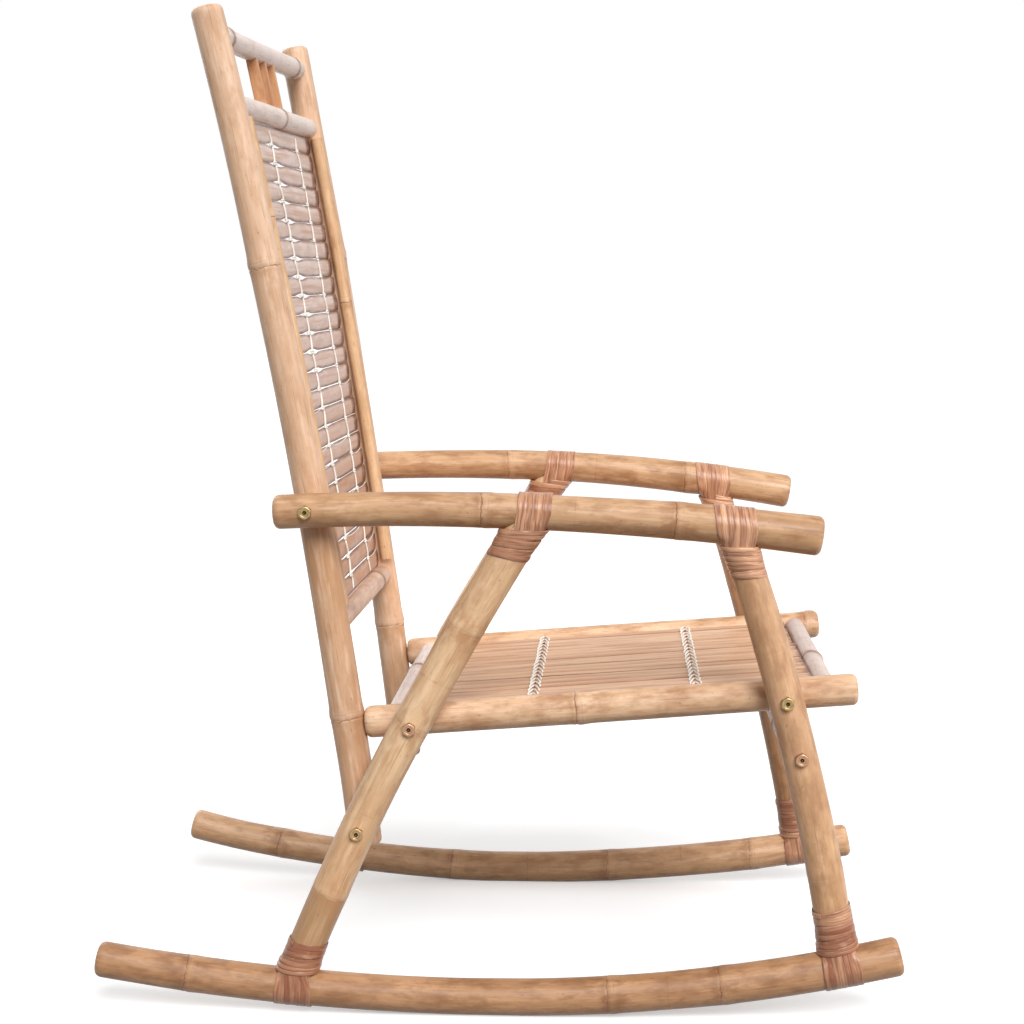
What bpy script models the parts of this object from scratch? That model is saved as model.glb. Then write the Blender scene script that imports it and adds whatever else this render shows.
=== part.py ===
"""Bamboo rocking chair: a pole frame, bolted and lashed with split cane, with a laced slat
back and a stitched slat seat.

Metres. +X is the chair's front, +Y its left side, +Z up. Z = 0 is the floor under the
rockers, and the origin is midway between the rockers' ends and sides.
"""

import math

import bmesh
import bpy
import numpy as np
from mathutils import Matrix, Vector

# Sides: the sign of Y
RIGHT = -1
LEFT = 1
SIDE_NAME = {RIGHT: "right", LEFT: "left"}

# Fits
FIT = 0.0003  # gap kept between pieces that touch
SOCKET_STOP = 0.003  # a socketed rail ends this far short of its post's axis

# Plan
LEG_SPACING = 0.545  # rocker to rocker, axis to axis

# Rockers: bent bamboo lying on the floor at X = 0. Each pole bends in its own way.
ROCKER_LENGTH = 0.855
ROCKER_REAR_ARC = {RIGHT: 2.50, LEFT: 1.72}
ROCKER_FRONT_ARC = {RIGHT: 1.83, LEFT: 2.30}
ROCKER_FLAT = 0.033  # half length of the straight part on the floor
ROCKER_REAR_R = 0.0188
ROCKER_FRONT_R = 0.0206

# Arms: a slow arc, highest near the back, thicker towards the front
ARM_REAR_X = -0.2325
ARM_FRONT_X = {RIGHT: 0.3395, LEFT: 0.3460}
ARM_CREST_X = -0.075
ARM_CREST_Z = {RIGHT: 0.5397, LEFT: 0.5460}
ARM_ARC = {RIGHT: 3.25, LEFT: 2.60}
ARM_REAR_R = 0.0178
ARM_FRONT_R = 0.0204

# Legs: each axis is a bow through three heights, given as X at a height Z. Each pole bows in its own way.
LEG_LOW_Z = 0.050
LEG_MID_Z = 0.300
LEG_HIGH_Z = 0.535
REAR_LEG_X = {RIGHT: (-0.2105, -0.0950, 0.0400), LEFT: (-0.2180, -0.0960, 0.0490)}
FRONT_LEG_X = {RIGHT: (0.3650, 0.3152, 0.2420), LEFT: (0.3645, 0.3125, 0.2420)}
REAR_LEG_LOW_R = 0.0199
REAR_LEG_HIGH_R = 0.0200
FRONT_LEG_LOW_R = 0.0198
FRONT_LEG_HIGH_R = 0.0176
LEG_EAR = 0.006  # a coped leg end stops this far short of the other pole's axis

# Back posts: bows through the foot, the arm and the top. The left pole bows less.
POST_FOOT_Z = 0.172
POST_ARM_Z = 0.537
POST_TOP_Z = 1.062
LEFT_POST_RISE = 0.008  # how much higher the left post stands
POST_FOOT_X = -0.142
POST_ARM_X = {RIGHT: -0.197, LEFT: -0.1905}
POST_TOP_X = {RIGHT: -0.3045, LEFT: -0.2805}
POST_LOW_R = 0.0180
POST_HIGH_R = 0.0168

# Seat frame
SEAT_AXIS_Z = 0.3174  # height of the seat rails' axes at X = 0
SEAT_PITCH = math.radians(4.4)  # the seat rises to the front
SEAT_FRONT_X = 0.382
SEAT_RAIL_R = 0.0171
SEAT_REAR_RAIL_X = -0.1105
SEAT_FRONT_RAIL_X = 0.3505
CROSS_RAIL_R = 0.0120

# Front stretcher, on the front legs' axes
STRETCHER_Z = 0.282
STRETCHER_R = 0.0165

# Back rails: the top rail hangs below the posts' tops, the upper rail below it
TOP_RAIL_DROP = 0.028
CREST_HEIGHT = 0.0725
LOWER_RAIL_Z = 0.409

# Bamboo: ring swellings, rounded ends and facets
RING_HEIGHT = 0.0007
RING_HALF = 0.008
END_ROUND = 0.004
END_FACE = 0.80  # radius of an end face, as a share of the pole's
POLE_SIDES = 10
RAIL_SIDES = 8
BOW_STEP = 0.075  # greatest length of a facet along a bowed pole

# Crest spindles
SPINDLE_PITCH = 0.046
SPINDLE_MIDDLE_Y = -0.004
SPINDLE_DEPTH = 0.013
SPINDLE_WIDTH = 0.009
SPINDLE_SEAT = 0.004  # how far an end goes into its rail
SPINDLE_COUNT = 3

# Back panel
BACK_SLAT_COUNT = 25
BACK_SLAT_GAP = 0.0032
BACK_SLAT_THICK = 0.0046
BACK_SLAT_SET = 0.0015  # middle of the slats, forward of the posts' axes
EDGE_STRIP_R = 0.0078
EDGE_STRIP_SET = 0.0105

# Lacing of the back
CORD_R = 0.0009
CORD_DIP = 0.0012  # how far a cord sinks into the gaps between slats
CORD_REACH = 0.26  # share of a slat's height, from its middle, that a cord lies flat on
LACING_IN = (0.0342, 0.1862, 0.3462)  # columns from the right post's axis, set off to that side

# Seat mat
SEAT_SLAT_COUNT = 18
SEAT_SLAT_GAP = 0.0018
SEAT_SLAT_THICK = 0.0050
SEAT_SLAT_TOP = 0.0098  # top of the slats above the seat rails' axes
SEAT_EDGE_GAP = 0.0012  # between the outer slats and the seat rails
BATTEN_R = 0.0080
BATTEN_SINK = 0.0012  # how far the slats are let into the battens
BATTEN_X = (0.0370, 0.2130)

# Lashings of split cane
STRIP_THICK = 0.0010
SADDLE_STRIPS = 5
SADDLE_WIDTH = 0.037  # over the arm or rocker
SADDLE_GAP = 0.0008
SADDLE_SPREAD = math.radians(52)  # half the angle that the strips cover on the leg
SADDLE_DROP = 0.053  # how far the strips run down the leg, from the other pole's axis
SADDLE_ARC_STEPS = 6
SADDLE_EASE = 1.05  # how far the strips stand off where they turn from the leg to the other pole
SADDLE_LEAN = 0.45  # share of the leg's lean that the strips keep over the other pole
BINDING_TURNS = 5
BINDING_WIDTH = 0.0052
BINDING_GAP = 0.0008
BINDING_POINTS = 10  # to a turn
BINDING_FAN = 0.45  # share of the other pole's slant that the turns lose down the leg

# Bolts
BOLT_R = 0.0040
BOLT_SIDES = 8
BOLT_HEAD_FLATS = 0.0130
BOLT_HEAD_HEIGHT = 0.0053
NUT_HEIGHT = 0.0065
NUT_RECESS_R = 0.0082
NUT_SINK = 0.0026  # a nut's face below the surface of its pole
SCREW_GRIP = 0.045  # how far a stretcher screw goes into the stretcher

# Colours, as base colour, roughness and metallic value
BAMBOO = ((0.62, 0.40, 0.20, 1.0), 0.45, 0.0)
PALE_BAMBOO = ((0.60, 0.44, 0.34, 1.0), 0.50, 0.0)
SPLIT_BAMBOO = ((0.56, 0.33, 0.16, 1.0), 0.50, 0.0)
CANE = ((0.42, 0.18, 0.08, 1.0), 0.40, 0.0)
CORD = ((0.85, 0.80, 0.70, 1.0), 0.80, 0.0)
ZINC = ((0.60, 0.47, 0.22, 1.0), 0.30, 1.0)

SMALL = 0.001  # step for measuring slopes
SEARCH_STEPS = 40

for old in list(bpy.data.objects):
    bpy.data.objects.remove(old, do_unlink=True)

chair = bpy.data.collections.new("bamboo_rocking_chair")
cutters = bpy.data.collections.new("cutters")
bpy.context.scene.collection.children.link(chair)
bpy.context.scene.collection.children.link(cutters)


# Curves of the side view
def bow(heights, xs):
    """X as a smooth function of Z through three heights."""
    (z0, z1, z2), (x0, x1, x2) = heights, xs
    first = (x1 - x0) / (z1 - z0)
    second = ((x2 - x1) / (z2 - z1) - first) / (z2 - z0)
    return lambda z: x0 + (z - z0) * (first + second * (z - z1))


def rise(arc, run):
    """How far an arc climbs over a level run from its lowest point."""
    return arc - math.sqrt(arc**2 - run**2)


def rocker_curve(side):
    """Height of a rocker's axis, with its underside on the floor at the middle."""

    def height(x):
        arc = ROCKER_REAR_ARC[side] if x < 0 else ROCKER_FRONT_ARC[side]
        radius = ROCKER_REAR_R + (ROCKER_FRONT_R - ROCKER_REAR_R) * (x / ROCKER_LENGTH + 0.5)
        under = rise(arc, max(abs(x), ROCKER_FLAT)) - rise(arc, ROCKER_FLAT)
        return under + radius * math.cos(math.pi / POLE_SIDES)

    return height


def arm_curve(side):
    return lambda x: ARM_CREST_Z[side] - rise(ARM_ARC[side], x - ARM_CREST_X)


def seat_z(x):
    return SEAT_AXIS_Z + x * math.tan(SEAT_PITCH)


LEG_HEIGHTS = (LEG_LOW_Z, LEG_MID_Z, LEG_HIGH_Z)
leg_x = {
    side: {"rear": bow(LEG_HEIGHTS, REAR_LEG_X[side]), "front": bow(LEG_HEIGHTS, FRONT_LEG_X[side])}
    for side in SIDE_NAME
}
lying_z = {side: {"rocker": rocker_curve(side), "arm": arm_curve(side)} for side in SIDE_NAME}
LEG_RADII = {
    "rear": (REAR_LEG_LOW_R, REAR_LEG_HIGH_R),
    "front": (FRONT_LEG_LOW_R, FRONT_LEG_HIGH_R),
}
post_top = {RIGHT: POST_TOP_Z, LEFT: POST_TOP_Z + LEFT_POST_RISE}
post_x = {
    side: bow((POST_FOOT_Z, POST_ARM_Z, post_top[side]), (POST_FOOT_X, POST_ARM_X[side], POST_TOP_X[side]))
    for side in SIDE_NAME
}


def crossing(x_of_z, z_of_x, z):
    """Where an upright curve and a lying curve cross in the side view."""
    for _ in range(SEARCH_STEPS):
        z = z_of_x(x_of_z(z))
    return x_of_z(z), z


def upright_crossing(first, second, low, high):
    """Where two upright curves cross between two heights."""
    for _ in range(SEARCH_STEPS):
        middle = (low + high) / 2
        if (first(middle) > second(middle)) == (first(high) > second(high)):
            high = middle
        else:
            low = middle
    return first(low), low


# Rows of poles across the chair: the posts and seat rails lie inside the legs
LEG_Y = LEG_SPACING / 2
POST_Y = LEG_Y - max(REAR_LEG_HIGH_R, FRONT_LEG_LOW_R) - POST_LOW_R - FIT


# Objects
def material(name, look):
    """The named finish, made once."""
    made = bpy.data.materials.get(name)
    if made is None:
        made = bpy.data.materials.new(name)
        made.use_nodes = True
        shader = made.node_tree.nodes["Principled BSDF"]
        shader.inputs["Base Color"].default_value = look[0]
        shader.inputs["Roughness"].default_value = look[1]
        shader.inputs["Metallic"].default_value = look[2]
    return made


def part(name, mesh, look):
    """A mesh as a named piece of the chair, with its own material."""
    obj = bpy.data.objects.new(name, mesh)
    mesh.materials.clear()
    mesh.materials.append(material(name, look))
    mesh.shade_smooth()
    mesh.set_sharp_from_angle(angle=math.radians(40))
    chair.objects.link(obj)
    return obj


def cutter(name, mesh):
    obj = bpy.data.objects.new(name, mesh)
    obj.hide_render = True
    obj.display_type = "WIRE"
    cutters.objects.link(obj)
    return obj


def boolean(obj, other, operation="DIFFERENCE"):
    change = obj.modifiers.new(other.name, "BOOLEAN")
    change.operation = operation
    change.object = other


def evaluated_mesh(obj):
    """The mesh an object makes, with its caps welded; the object is removed."""
    bpy.context.view_layer.update()
    graph = bpy.context.evaluated_depsgraph_get()
    mesh = bpy.data.meshes.new_from_object(obj.evaluated_get(graph))
    mesh.transform(obj.matrix_world)
    edit = bmesh.new()
    edit.from_mesh(mesh)
    bmesh.ops.remove_doubles(edit, verts=edit.verts, dist=1e-6)
    bmesh.ops.recalc_face_normals(edit, faces=edit.faces)
    edit.to_mesh(mesh)
    edit.free()
    bpy.data.objects.remove(obj, do_unlink=True)
    return mesh


def tube_mesh(name, points, radii, sides):
    """A round tube along points, with a radius at each and filled ends."""
    curve = bpy.data.curves.new(name, "CURVE")
    curve.dimensions = "3D"
    curve.twist_mode = "Z_UP"
    curve.bevel_depth = max(radii)
    curve.bevel_resolution = (sides - 4) // 2
    curve.use_fill_caps = True
    spline = curve.splines.new("POLY")
    spline.points.add(len(points) - 1)
    for knot, point, radius in zip(spline.points, points, radii):
        knot.co = (*point, 1.0)
        knot.radius = radius / curve.bevel_depth
    obj = bpy.data.objects.new(name, curve)
    chair.objects.link(obj)
    return evaluated_mesh(obj)


def extruded_mesh(name, outline, length, place):
    """A flat outline drawn out along its own Z, both ways from the middle."""
    curve = bpy.data.curves.new(name, "CURVE")
    curve.dimensions = "2D"
    curve.fill_mode = "BOTH"
    curve.extrude = length / 2
    spline = curve.splines.new("POLY")
    spline.points.add(len(outline) - 1)
    spline.use_cyclic_u = True
    for knot, (x, y) in zip(spline.points, outline):
        knot.co = (x, y, 0.0, 1.0)
    obj = bpy.data.objects.new(name, curve)
    obj.matrix_world = place
    chair.objects.link(obj)
    return evaluated_mesh(obj)


def rod_mesh(name, radius, length, sides, place):
    """A prism about its own Z."""
    edit = bmesh.new()
    bmesh.ops.create_cone(
        edit, cap_ends=True, segments=sides, radius1=radius, radius2=radius, depth=length, matrix=place
    )
    mesh = bpy.data.meshes.new(name)
    edit.to_mesh(mesh)
    edit.free()
    return mesh


def joined_mesh(name, meshes):
    """Several separate bodies in one mesh."""
    edit = bmesh.new()
    for mesh in meshes:
        edit.from_mesh(mesh)
    joined = bpy.data.meshes.new(name)
    edit.to_mesh(joined)
    edit.free()
    return joined


def ribbon_mesh(name, strips, bridges, thick):
    """A flat strip, drawn as rows of two edge points, with bridges between strips, made solid outwards."""
    edit = bmesh.new()
    rows = [[(edit.verts.new(a), edit.verts.new(b)) for a, b in strip] for strip in strips]
    for strip in rows:
        for (a, b), (c, d) in zip(strip, strip[1:]):
            edit.faces.new((a, b, d, c))
    for first, second, row in bridges:
        a, b = rows[first][row][1], rows[first][row + 1][1]
        c, d = rows[second][row][0], rows[second][row + 1][0]
        edit.faces.new((a, c, d, b))
    bmesh.ops.recalc_face_normals(edit, faces=edit.faces)
    mesh = bpy.data.meshes.new(name)
    edit.to_mesh(mesh)
    edit.free()
    obj = bpy.data.objects.new(name, mesh)
    chair.objects.link(obj)
    shell = obj.modifiers.new("thickness", "SOLIDIFY")
    shell.thickness = thick
    shell.offset = 1.0
    return evaluated_mesh(obj)


# Poles
class Pole:
    """A bamboo pole: an axis from t = 0 to 1, a radius at each end and rings along it."""

    def __init__(self, name, axis, radii, rings=(), rounded=(True, True), sides=POLE_SIDES, bowed=True):
        self.name = name
        self.axis = axis
        self.radii = radii
        self.rings = rings
        self.rounded = rounded
        self.sides = sides
        self.length = (axis(1.0) - axis(0.0)).length
        self.steps = 2 * math.ceil(self.length / BOW_STEP / 2) + 1 if bowed else 1

    def radius(self, t):
        low, high = self.radii
        return low + (high - low) * t

    def stations(self):
        """Pairs of t and radius: rounded ends, ring swellings and the steps of the bow."""
        near = 1.5 * RING_HALF / self.length
        special = [(0.0, self.radius(0.0)), (1.0, self.radius(1.0))]
        for end, inward in ((0, 1), (1, -1)):
            if self.rounded[end]:
                special[end] = (float(end), END_FACE * self.radius(end))
                t = end + inward * END_ROUND / self.length
                special.append((t, self.radius(t)))
        for ring in self.rings:
            for offset, height in ((-RING_HALF, 0.0), (0.0, RING_HEIGHT), (RING_HALF, 0.0)):
                t = ring + offset / self.length
                special.append((t, self.radius(t) + height))
        plain = [
            (t, self.radius(t))
            for t in np.linspace(0.0, 1.0, self.steps + 1)
            if all(abs(t - other) > near for other, _ in special)
        ]
        return sorted(special + plain)

    def mesh(self):
        stations = self.stations()
        points = [self.axis(t) for t, _ in stations]
        return tube_mesh(self.name, points, [r for _, r in stations], self.sides)

    def grown(self):
        """A cutter that leaves a fit round this pole."""
        stations = self.stations()
        points = [self.axis(t) for t, _ in stations]
        reach = (points[-1] - points[0]).normalized() * FIT
        points[0] = points[0] - reach
        points[-1] = points[-1] + reach
        radii = [r + FIT for _, r in stations]
        return cutter(f"{self.name}_room", tube_mesh(f"{self.name}_room", points, radii, self.sides))


def upright(x_of_z, y, low, high):
    return lambda t: Vector((x_of_z(low + (high - low) * t), y, low + (high - low) * t))


def lying(z_of_x, y, rear, front):
    return lambda t: Vector((rear + (front - rear) * t, y, z_of_x(rear + (front - rear) * t)))


def straight(start, end):
    return lambda t: start.lerp(end, t)


ROCKER_RINGS = {RIGHT: (0.114, 0.637, 0.776), LEFT: (0.136, 0.400, 0.636, 0.851)}
ARM_RINGS = {RIGHT: (0.380, 0.731), LEFT: (0.377, 0.767)}
POST_RINGS = {RIGHT: (0.155, 0.693), LEFT: (0.189, 0.706)}
REAR_LEG_RINGS = (0.186, 0.547, 0.754)
FRONT_LEG_RINGS = (0.200, 0.720)
SEAT_RAIL_RINGS = {RIGHT: (0.430,), LEFT: (0.965,)}


# Where the poles cross in the side view
def leg_joint(side, leg, key):
    """Where a leg meets its arm or rocker."""
    return crossing(leg_x[side][leg], lying_z[side][key], LEG_HIGH_Z if key == "arm" else LEG_LOW_Z)


def toward(x_of_z, z):
    """Unit vector up an upright curve."""
    return Vector((x_of_z(z + SMALL) - x_of_z(z - SMALL), 0.0, 2 * SMALL)).normalized()


def leg_ends(side, leg):
    low = leg_joint(side, leg, "rocker")[1]
    high = leg_joint(side, leg, "arm")[1]
    axis = leg_x[side][leg]
    return low + LEG_EAR * toward(axis, low).z, high - LEG_EAR * toward(axis, high).z


def seat_rail_rear(side):
    """The seat rail stops against the front of its post."""
    x, z = crossing(post_x[side], seat_z, SEAT_AXIS_Z)
    return x + (POST_LOW_R + FIT) / toward(post_x[side], z).z


def side_poles(side):
    leg_y, post_y = side * LEG_Y, side * POST_Y
    half = ROCKER_LENGTH / 2
    name = SIDE_NAME[side]
    return {
        "rocker": Pole(
            f"{name}_rocker",
            lying(lying_z[side]["rocker"], leg_y, -half, half),
            (ROCKER_REAR_R, ROCKER_FRONT_R),
            ROCKER_RINGS[side],
        ),
        "arm": Pole(
            f"{name}_arm",
            lying(lying_z[side]["arm"], leg_y, ARM_REAR_X, ARM_FRONT_X[side]),
            (ARM_REAR_R, ARM_FRONT_R),
            ARM_RINGS[side],
        ),
        "rear": Pole(
            f"{name}_rear_leg",
            upright(leg_x[side]["rear"], leg_y, *leg_ends(side, "rear")),
            LEG_RADII["rear"],
            REAR_LEG_RINGS,
            (False, False),
        ),
        "front": Pole(
            f"{name}_front_leg",
            upright(leg_x[side]["front"], leg_y, *leg_ends(side, "front")),
            LEG_RADII["front"],
            FRONT_LEG_RINGS,
            (False, False),
        ),
        "post": Pole(
            f"{name}_back_post",
            upright(post_x[side], post_y, POST_FOOT_Z, post_top[side]),
            (POST_LOW_R, POST_HIGH_R),
            POST_RINGS[side],
        ),
        "seat_rail": Pole(
            f"{name}_seat_rail",
            lying(seat_z, post_y, seat_rail_rear(side), SEAT_FRONT_X),
            (SEAT_RAIL_R, SEAT_RAIL_R),
            SEAT_RAIL_RINGS[side],
            bowed=False,
        ),
    }


poles = {side: side_poles(side) for side in SIDE_NAME}
objects = {
    side: {key: part(pole.name, pole.mesh(), BAMBOO) for key, pole in poles[side].items()} for side in SIDE_NAME
}

# Leg ends are coped to the arms and rockers
for side in SIDE_NAME:
    for key in ("arm", "rocker"):
        room = poles[side][key].grown()
        for leg in ("rear", "front"):
            boolean(objects[side][leg], room)


# Cross rails, socketed in the poles that carry them
def cross_rail(name, ends, radius, rings, carriers, look=PALE_BAMBOO):
    """A rail between two points on its carriers' axes, stopping short of both."""
    start, end = ends
    stop = (end - start).normalized() * SOCKET_STOP
    rail = Pole(
        name, straight(start + stop, end - stop), (radius, radius), rings, (False, False), RAIL_SIDES, False
    )
    obj = part(name, rail.mesh(), look)
    room = rail.grown()
    for carrier in carriers:
        boolean(carrier, room)
    return obj


def post_point(side, z):
    return Vector((post_x[side](z), side * POST_Y, z))


def seat_point(side, x):
    return Vector((x, side * POST_Y, seat_z(x)))


posts = [objects[side]["post"] for side in SIDE_NAME]
seat_rails = [objects[side]["seat_rail"] for side in SIDE_NAME]
top_rail_z = {side: post_top[side] - TOP_RAIL_DROP for side in SIDE_NAME}
upper_rail_z = {side: top_rail_z[side] - CREST_HEIGHT for side in SIDE_NAME}
lower_rail_z = {side: LOWER_RAIL_Z for side in SIDE_NAME}
back_rails = {
    name: cross_rail(name, [post_point(side, z[side]) for side in SIDE_NAME], CROSS_RAIL_R, rings, posts)
    for name, z, rings in (
        ("back_top_rail", top_rail_z, (0.105, 0.900)),
        ("back_upper_rail", upper_rail_z, (0.560,)),
        ("back_lower_rail", lower_rail_z, (0.820,)),
    )
}
for name, x, rings in (
    ("seat_rear_rail", SEAT_REAR_RAIL_X, (0.620,)),
    ("seat_front_rail", SEAT_FRONT_RAIL_X, (0.400,)),
):
    cross_rail(name, (seat_point(RIGHT, x), seat_point(LEFT, x)), CROSS_RAIL_R, rings, seat_rails)

# Front stretcher, coped to the front legs
stretcher_x = {side: leg_x[side]["front"](STRETCHER_Z) for side in SIDE_NAME}
stretcher_ends = [Vector((stretcher_x[side], side * (LEG_Y - LEG_EAR), STRETCHER_Z)) for side in SIDE_NAME]
stretcher = Pole(
    "front_stretcher",
    straight(*stretcher_ends),
    (STRETCHER_R, STRETCHER_R),
    (0.300, 0.740),
    (False, False),
    bowed=False,
)
stretcher_obj = part("front_stretcher", stretcher.mesh(), PALE_BAMBOO)
for side in SIDE_NAME:
    boolean(stretcher_obj, poles[side]["front"].grown())


# Back panel frame: points by the heights on the two posts, sideways place and forward set
def panel_frame(heights):
    """Right post's axis point, the vector to the left one, and the unit vectors up and forward."""
    right, left = (post_point(side, heights[side]) for side in SIDE_NAME)
    across = left - right
    up = sum((toward(post_x[side], heights[side]) for side in SIDE_NAME), Vector()).normalized()
    forward = across.cross(up).normalized()
    return right, across, forward.cross(across).normalized(), forward


def panel_point(heights, y, forward_set):
    right, across, _, forward = panel_frame(heights)
    share = (y + POST_Y) / (2 * POST_Y)
    return right + across * share + forward * forward_set


def axes_matrix(x_axis, y_axis, z_axis, origin):
    turn = Matrix((x_axis, y_axis, z_axis)).transposed()
    return Matrix.Translation(origin) @ turn.to_4x4()


def split_outline(depth, width):
    """Section of split bamboo: flat behind, crowned in front."""
    back, crown, half = -depth / 2, depth / 2, width / 2
    shoulder = back + 0.6 * depth
    return [(back, -half), (shoulder, -half), (crown, -0.55 * half), (crown, 0.55 * half), (shoulder, half), (back, half)]


# Crest spindles, let into the top and upper rails
for number in range(SPINDLE_COUNT):
    y = SPINDLE_MIDDLE_Y + (number - (SPINDLE_COUNT - 1) / 2) * SPINDLE_PITCH
    low, high = panel_point(upper_rail_z, y, 0.0), panel_point(top_rail_z, y, 0.0)
    along = (high - low).normalized()
    length = (high - low).length - 2 * (CROSS_RAIL_R - SPINDLE_SEAT)
    across = panel_frame(top_rail_z)[1].normalized()
    forward = across.cross(along).normalized()
    place = axes_matrix(forward, along.cross(forward), along, (low + high) / 2)
    outline = split_outline(SPINDLE_DEPTH, SPINDLE_WIDTH)
    name = f"crest_spindle_{number + 1}"
    part(name, extruded_mesh(name, outline, length, place), SPLIT_BAMBOO)
    wide = split_outline(SPINDLE_DEPTH + 2 * FIT, SPINDLE_WIDTH + 2 * FIT)
    room = cutter(f"{name}_room", extruded_mesh(f"{name}_room", wide, length + 2 * FIT, place))
    for rail in ("back_top_rail", "back_upper_rail"):
        boolean(back_rails[rail], room)

# Back slats between the lower and upper rails
panel_low = LOWER_RAIL_Z + CROSS_RAIL_R
slat_rise = {side: (upper_rail_z[side] - CROSS_RAIL_R - panel_low) / BACK_SLAT_COUNT for side in SIDE_NAME}


def slat_level(number):
    """Heights on the two posts, counted in slats from the foot of the panel."""
    return {side: panel_low + number * slat_rise[side] for side in SIDE_NAME}


slat_middles = [number + 0.5 for number in range(BACK_SLAT_COUNT)]
post_room = POST_LOW_R + RING_HEIGHT + FIT
slat_end = POST_Y - post_room
slats = []
for middle in slat_middles:
    _, across, up, forward = panel_frame(slat_level(middle))
    width = min(slat_rise.values()) / up.z - BACK_SLAT_GAP
    outline = split_outline(BACK_SLAT_THICK, width)
    length = across.length * slat_end / POST_Y
    place = axes_matrix(forward, up, forward.cross(up), panel_point(slat_level(middle), 0.0, BACK_SLAT_SET))
    slats.append(extruded_mesh("slat", outline, length, place))
panel = part("back_slat_panel", joined_mesh("back_slat_panel", slats), PALE_BAMBOO)

# Edge strips on the posts, over the slats' ends
for side in SIDE_NAME:
    post = poles[side]["post"]
    points = []
    for middle in slat_middles[::4]:
        level = slat_level(middle)
        share = (level[side] - POST_FOOT_Z) / (post_top[side] - POST_FOOT_Z)
        inset = math.sqrt(post.radius(share) ** 2 - EDGE_STRIP_SET**2) + EDGE_STRIP_R
        points.append(panel_point(level, side * (POST_Y - inset), EDGE_STRIP_SET))
    name = f"{SIDE_NAME[side]}_edge_strip"
    strip = cutter(name, tube_mesh(name, points, [EDGE_STRIP_R] * len(points), RAIL_SIDES))
    boolean(panel, strip, "UNION")
    boolean(panel, post.grown())

# Lacing: a cord in each column, over every slat and into every gap
for number, inward in enumerate(LACING_IN):
    y = inward - POST_Y
    over = BACK_SLAT_SET + BACK_SLAT_THICK / 2 + CORD_R + FIT
    points = []
    for middle in slat_middles:
        points.append(panel_point(slat_level(middle - 0.5), y, over - CORD_DIP))
        points.append(panel_point(slat_level(middle - CORD_REACH), y, over))
        points.append(panel_point(slat_level(middle + CORD_REACH), y, over))
    points = points[1:]
    name = f"back_lacing_{number + 1}"
    part(name, tube_mesh(name, points, [CORD_R] * len(points), 4), CORD)

# Seat mat: slats let into two battens, which are socketed in the seat rails
along = Vector((math.cos(SEAT_PITCH), 0.0, math.sin(SEAT_PITCH)))
seat_up = Vector((-math.sin(SEAT_PITCH), 0.0, math.cos(SEAT_PITCH)))
mat_half = POST_Y - SEAT_RAIL_R - RING_HEIGHT - SEAT_EDGE_GAP
slat_pitch = 2 * mat_half / SEAT_SLAT_COUNT
slat_middle = SEAT_SLAT_TOP - SEAT_SLAT_THICK / 2
rail_reach = math.sqrt(max(CROSS_RAIL_R**2 - max(slat_middle - SEAT_SLAT_THICK / 2, 0.0) ** 2, 0.0)) + RING_HEIGHT
rear = seat_point(RIGHT, SEAT_REAR_RAIL_X) + along * (rail_reach + FIT)
front = seat_point(RIGHT, SEAT_FRONT_RAIL_X) - along * (rail_reach + FIT)
mat_length = (front - rear).length
seat_slats = []
for number in range(SEAT_SLAT_COUNT):
    middle = (rear + front) / 2 + seat_up * slat_middle
    middle.y = (number + 0.5) * slat_pitch - mat_half
    outline = split_outline(SEAT_SLAT_THICK, slat_pitch - SEAT_SLAT_GAP)
    place = axes_matrix(seat_up, seat_up.cross(-along), along, middle)
    seat_slats.append(extruded_mesh("seat_slat", outline, mat_length, place))
mat = part("seat_slat_mat", joined_mesh("seat_slat_mat", seat_slats), SPLIT_BAMBOO)
batten_drop = SEAT_SLAT_TOP - SEAT_SLAT_THICK + BATTEN_SINK - BATTEN_R
for number, x in enumerate(BATTEN_X):
    ends = [seat_point(side, x) + seat_up * batten_drop for side in SIDE_NAME]
    stop = Vector((0.0, SOCKET_STOP, 0.0))
    batten = Pole(
        f"seat_batten_{number + 1}", straight(ends[0] + stop, ends[1] - stop), (BATTEN_R, BATTEN_R), (), (False, False),
        RAIL_SIDES, False,
    )
    boolean(mat, cutter(batten.name, batten.mesh()), "UNION")
    room = batten.grown()
    for rail in seat_rails:
        boolean(rail, room)


# Lashings: a saddle of strips over the arm or rocker, bound to the leg by a coil
def least_gap(first, second):
    """Least distance between two rows of points."""
    a, b = np.array(first), np.array(second)
    return float(np.sqrt(((a[:, None] - b[None]) ** 2).sum(axis=2)).min())


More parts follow.
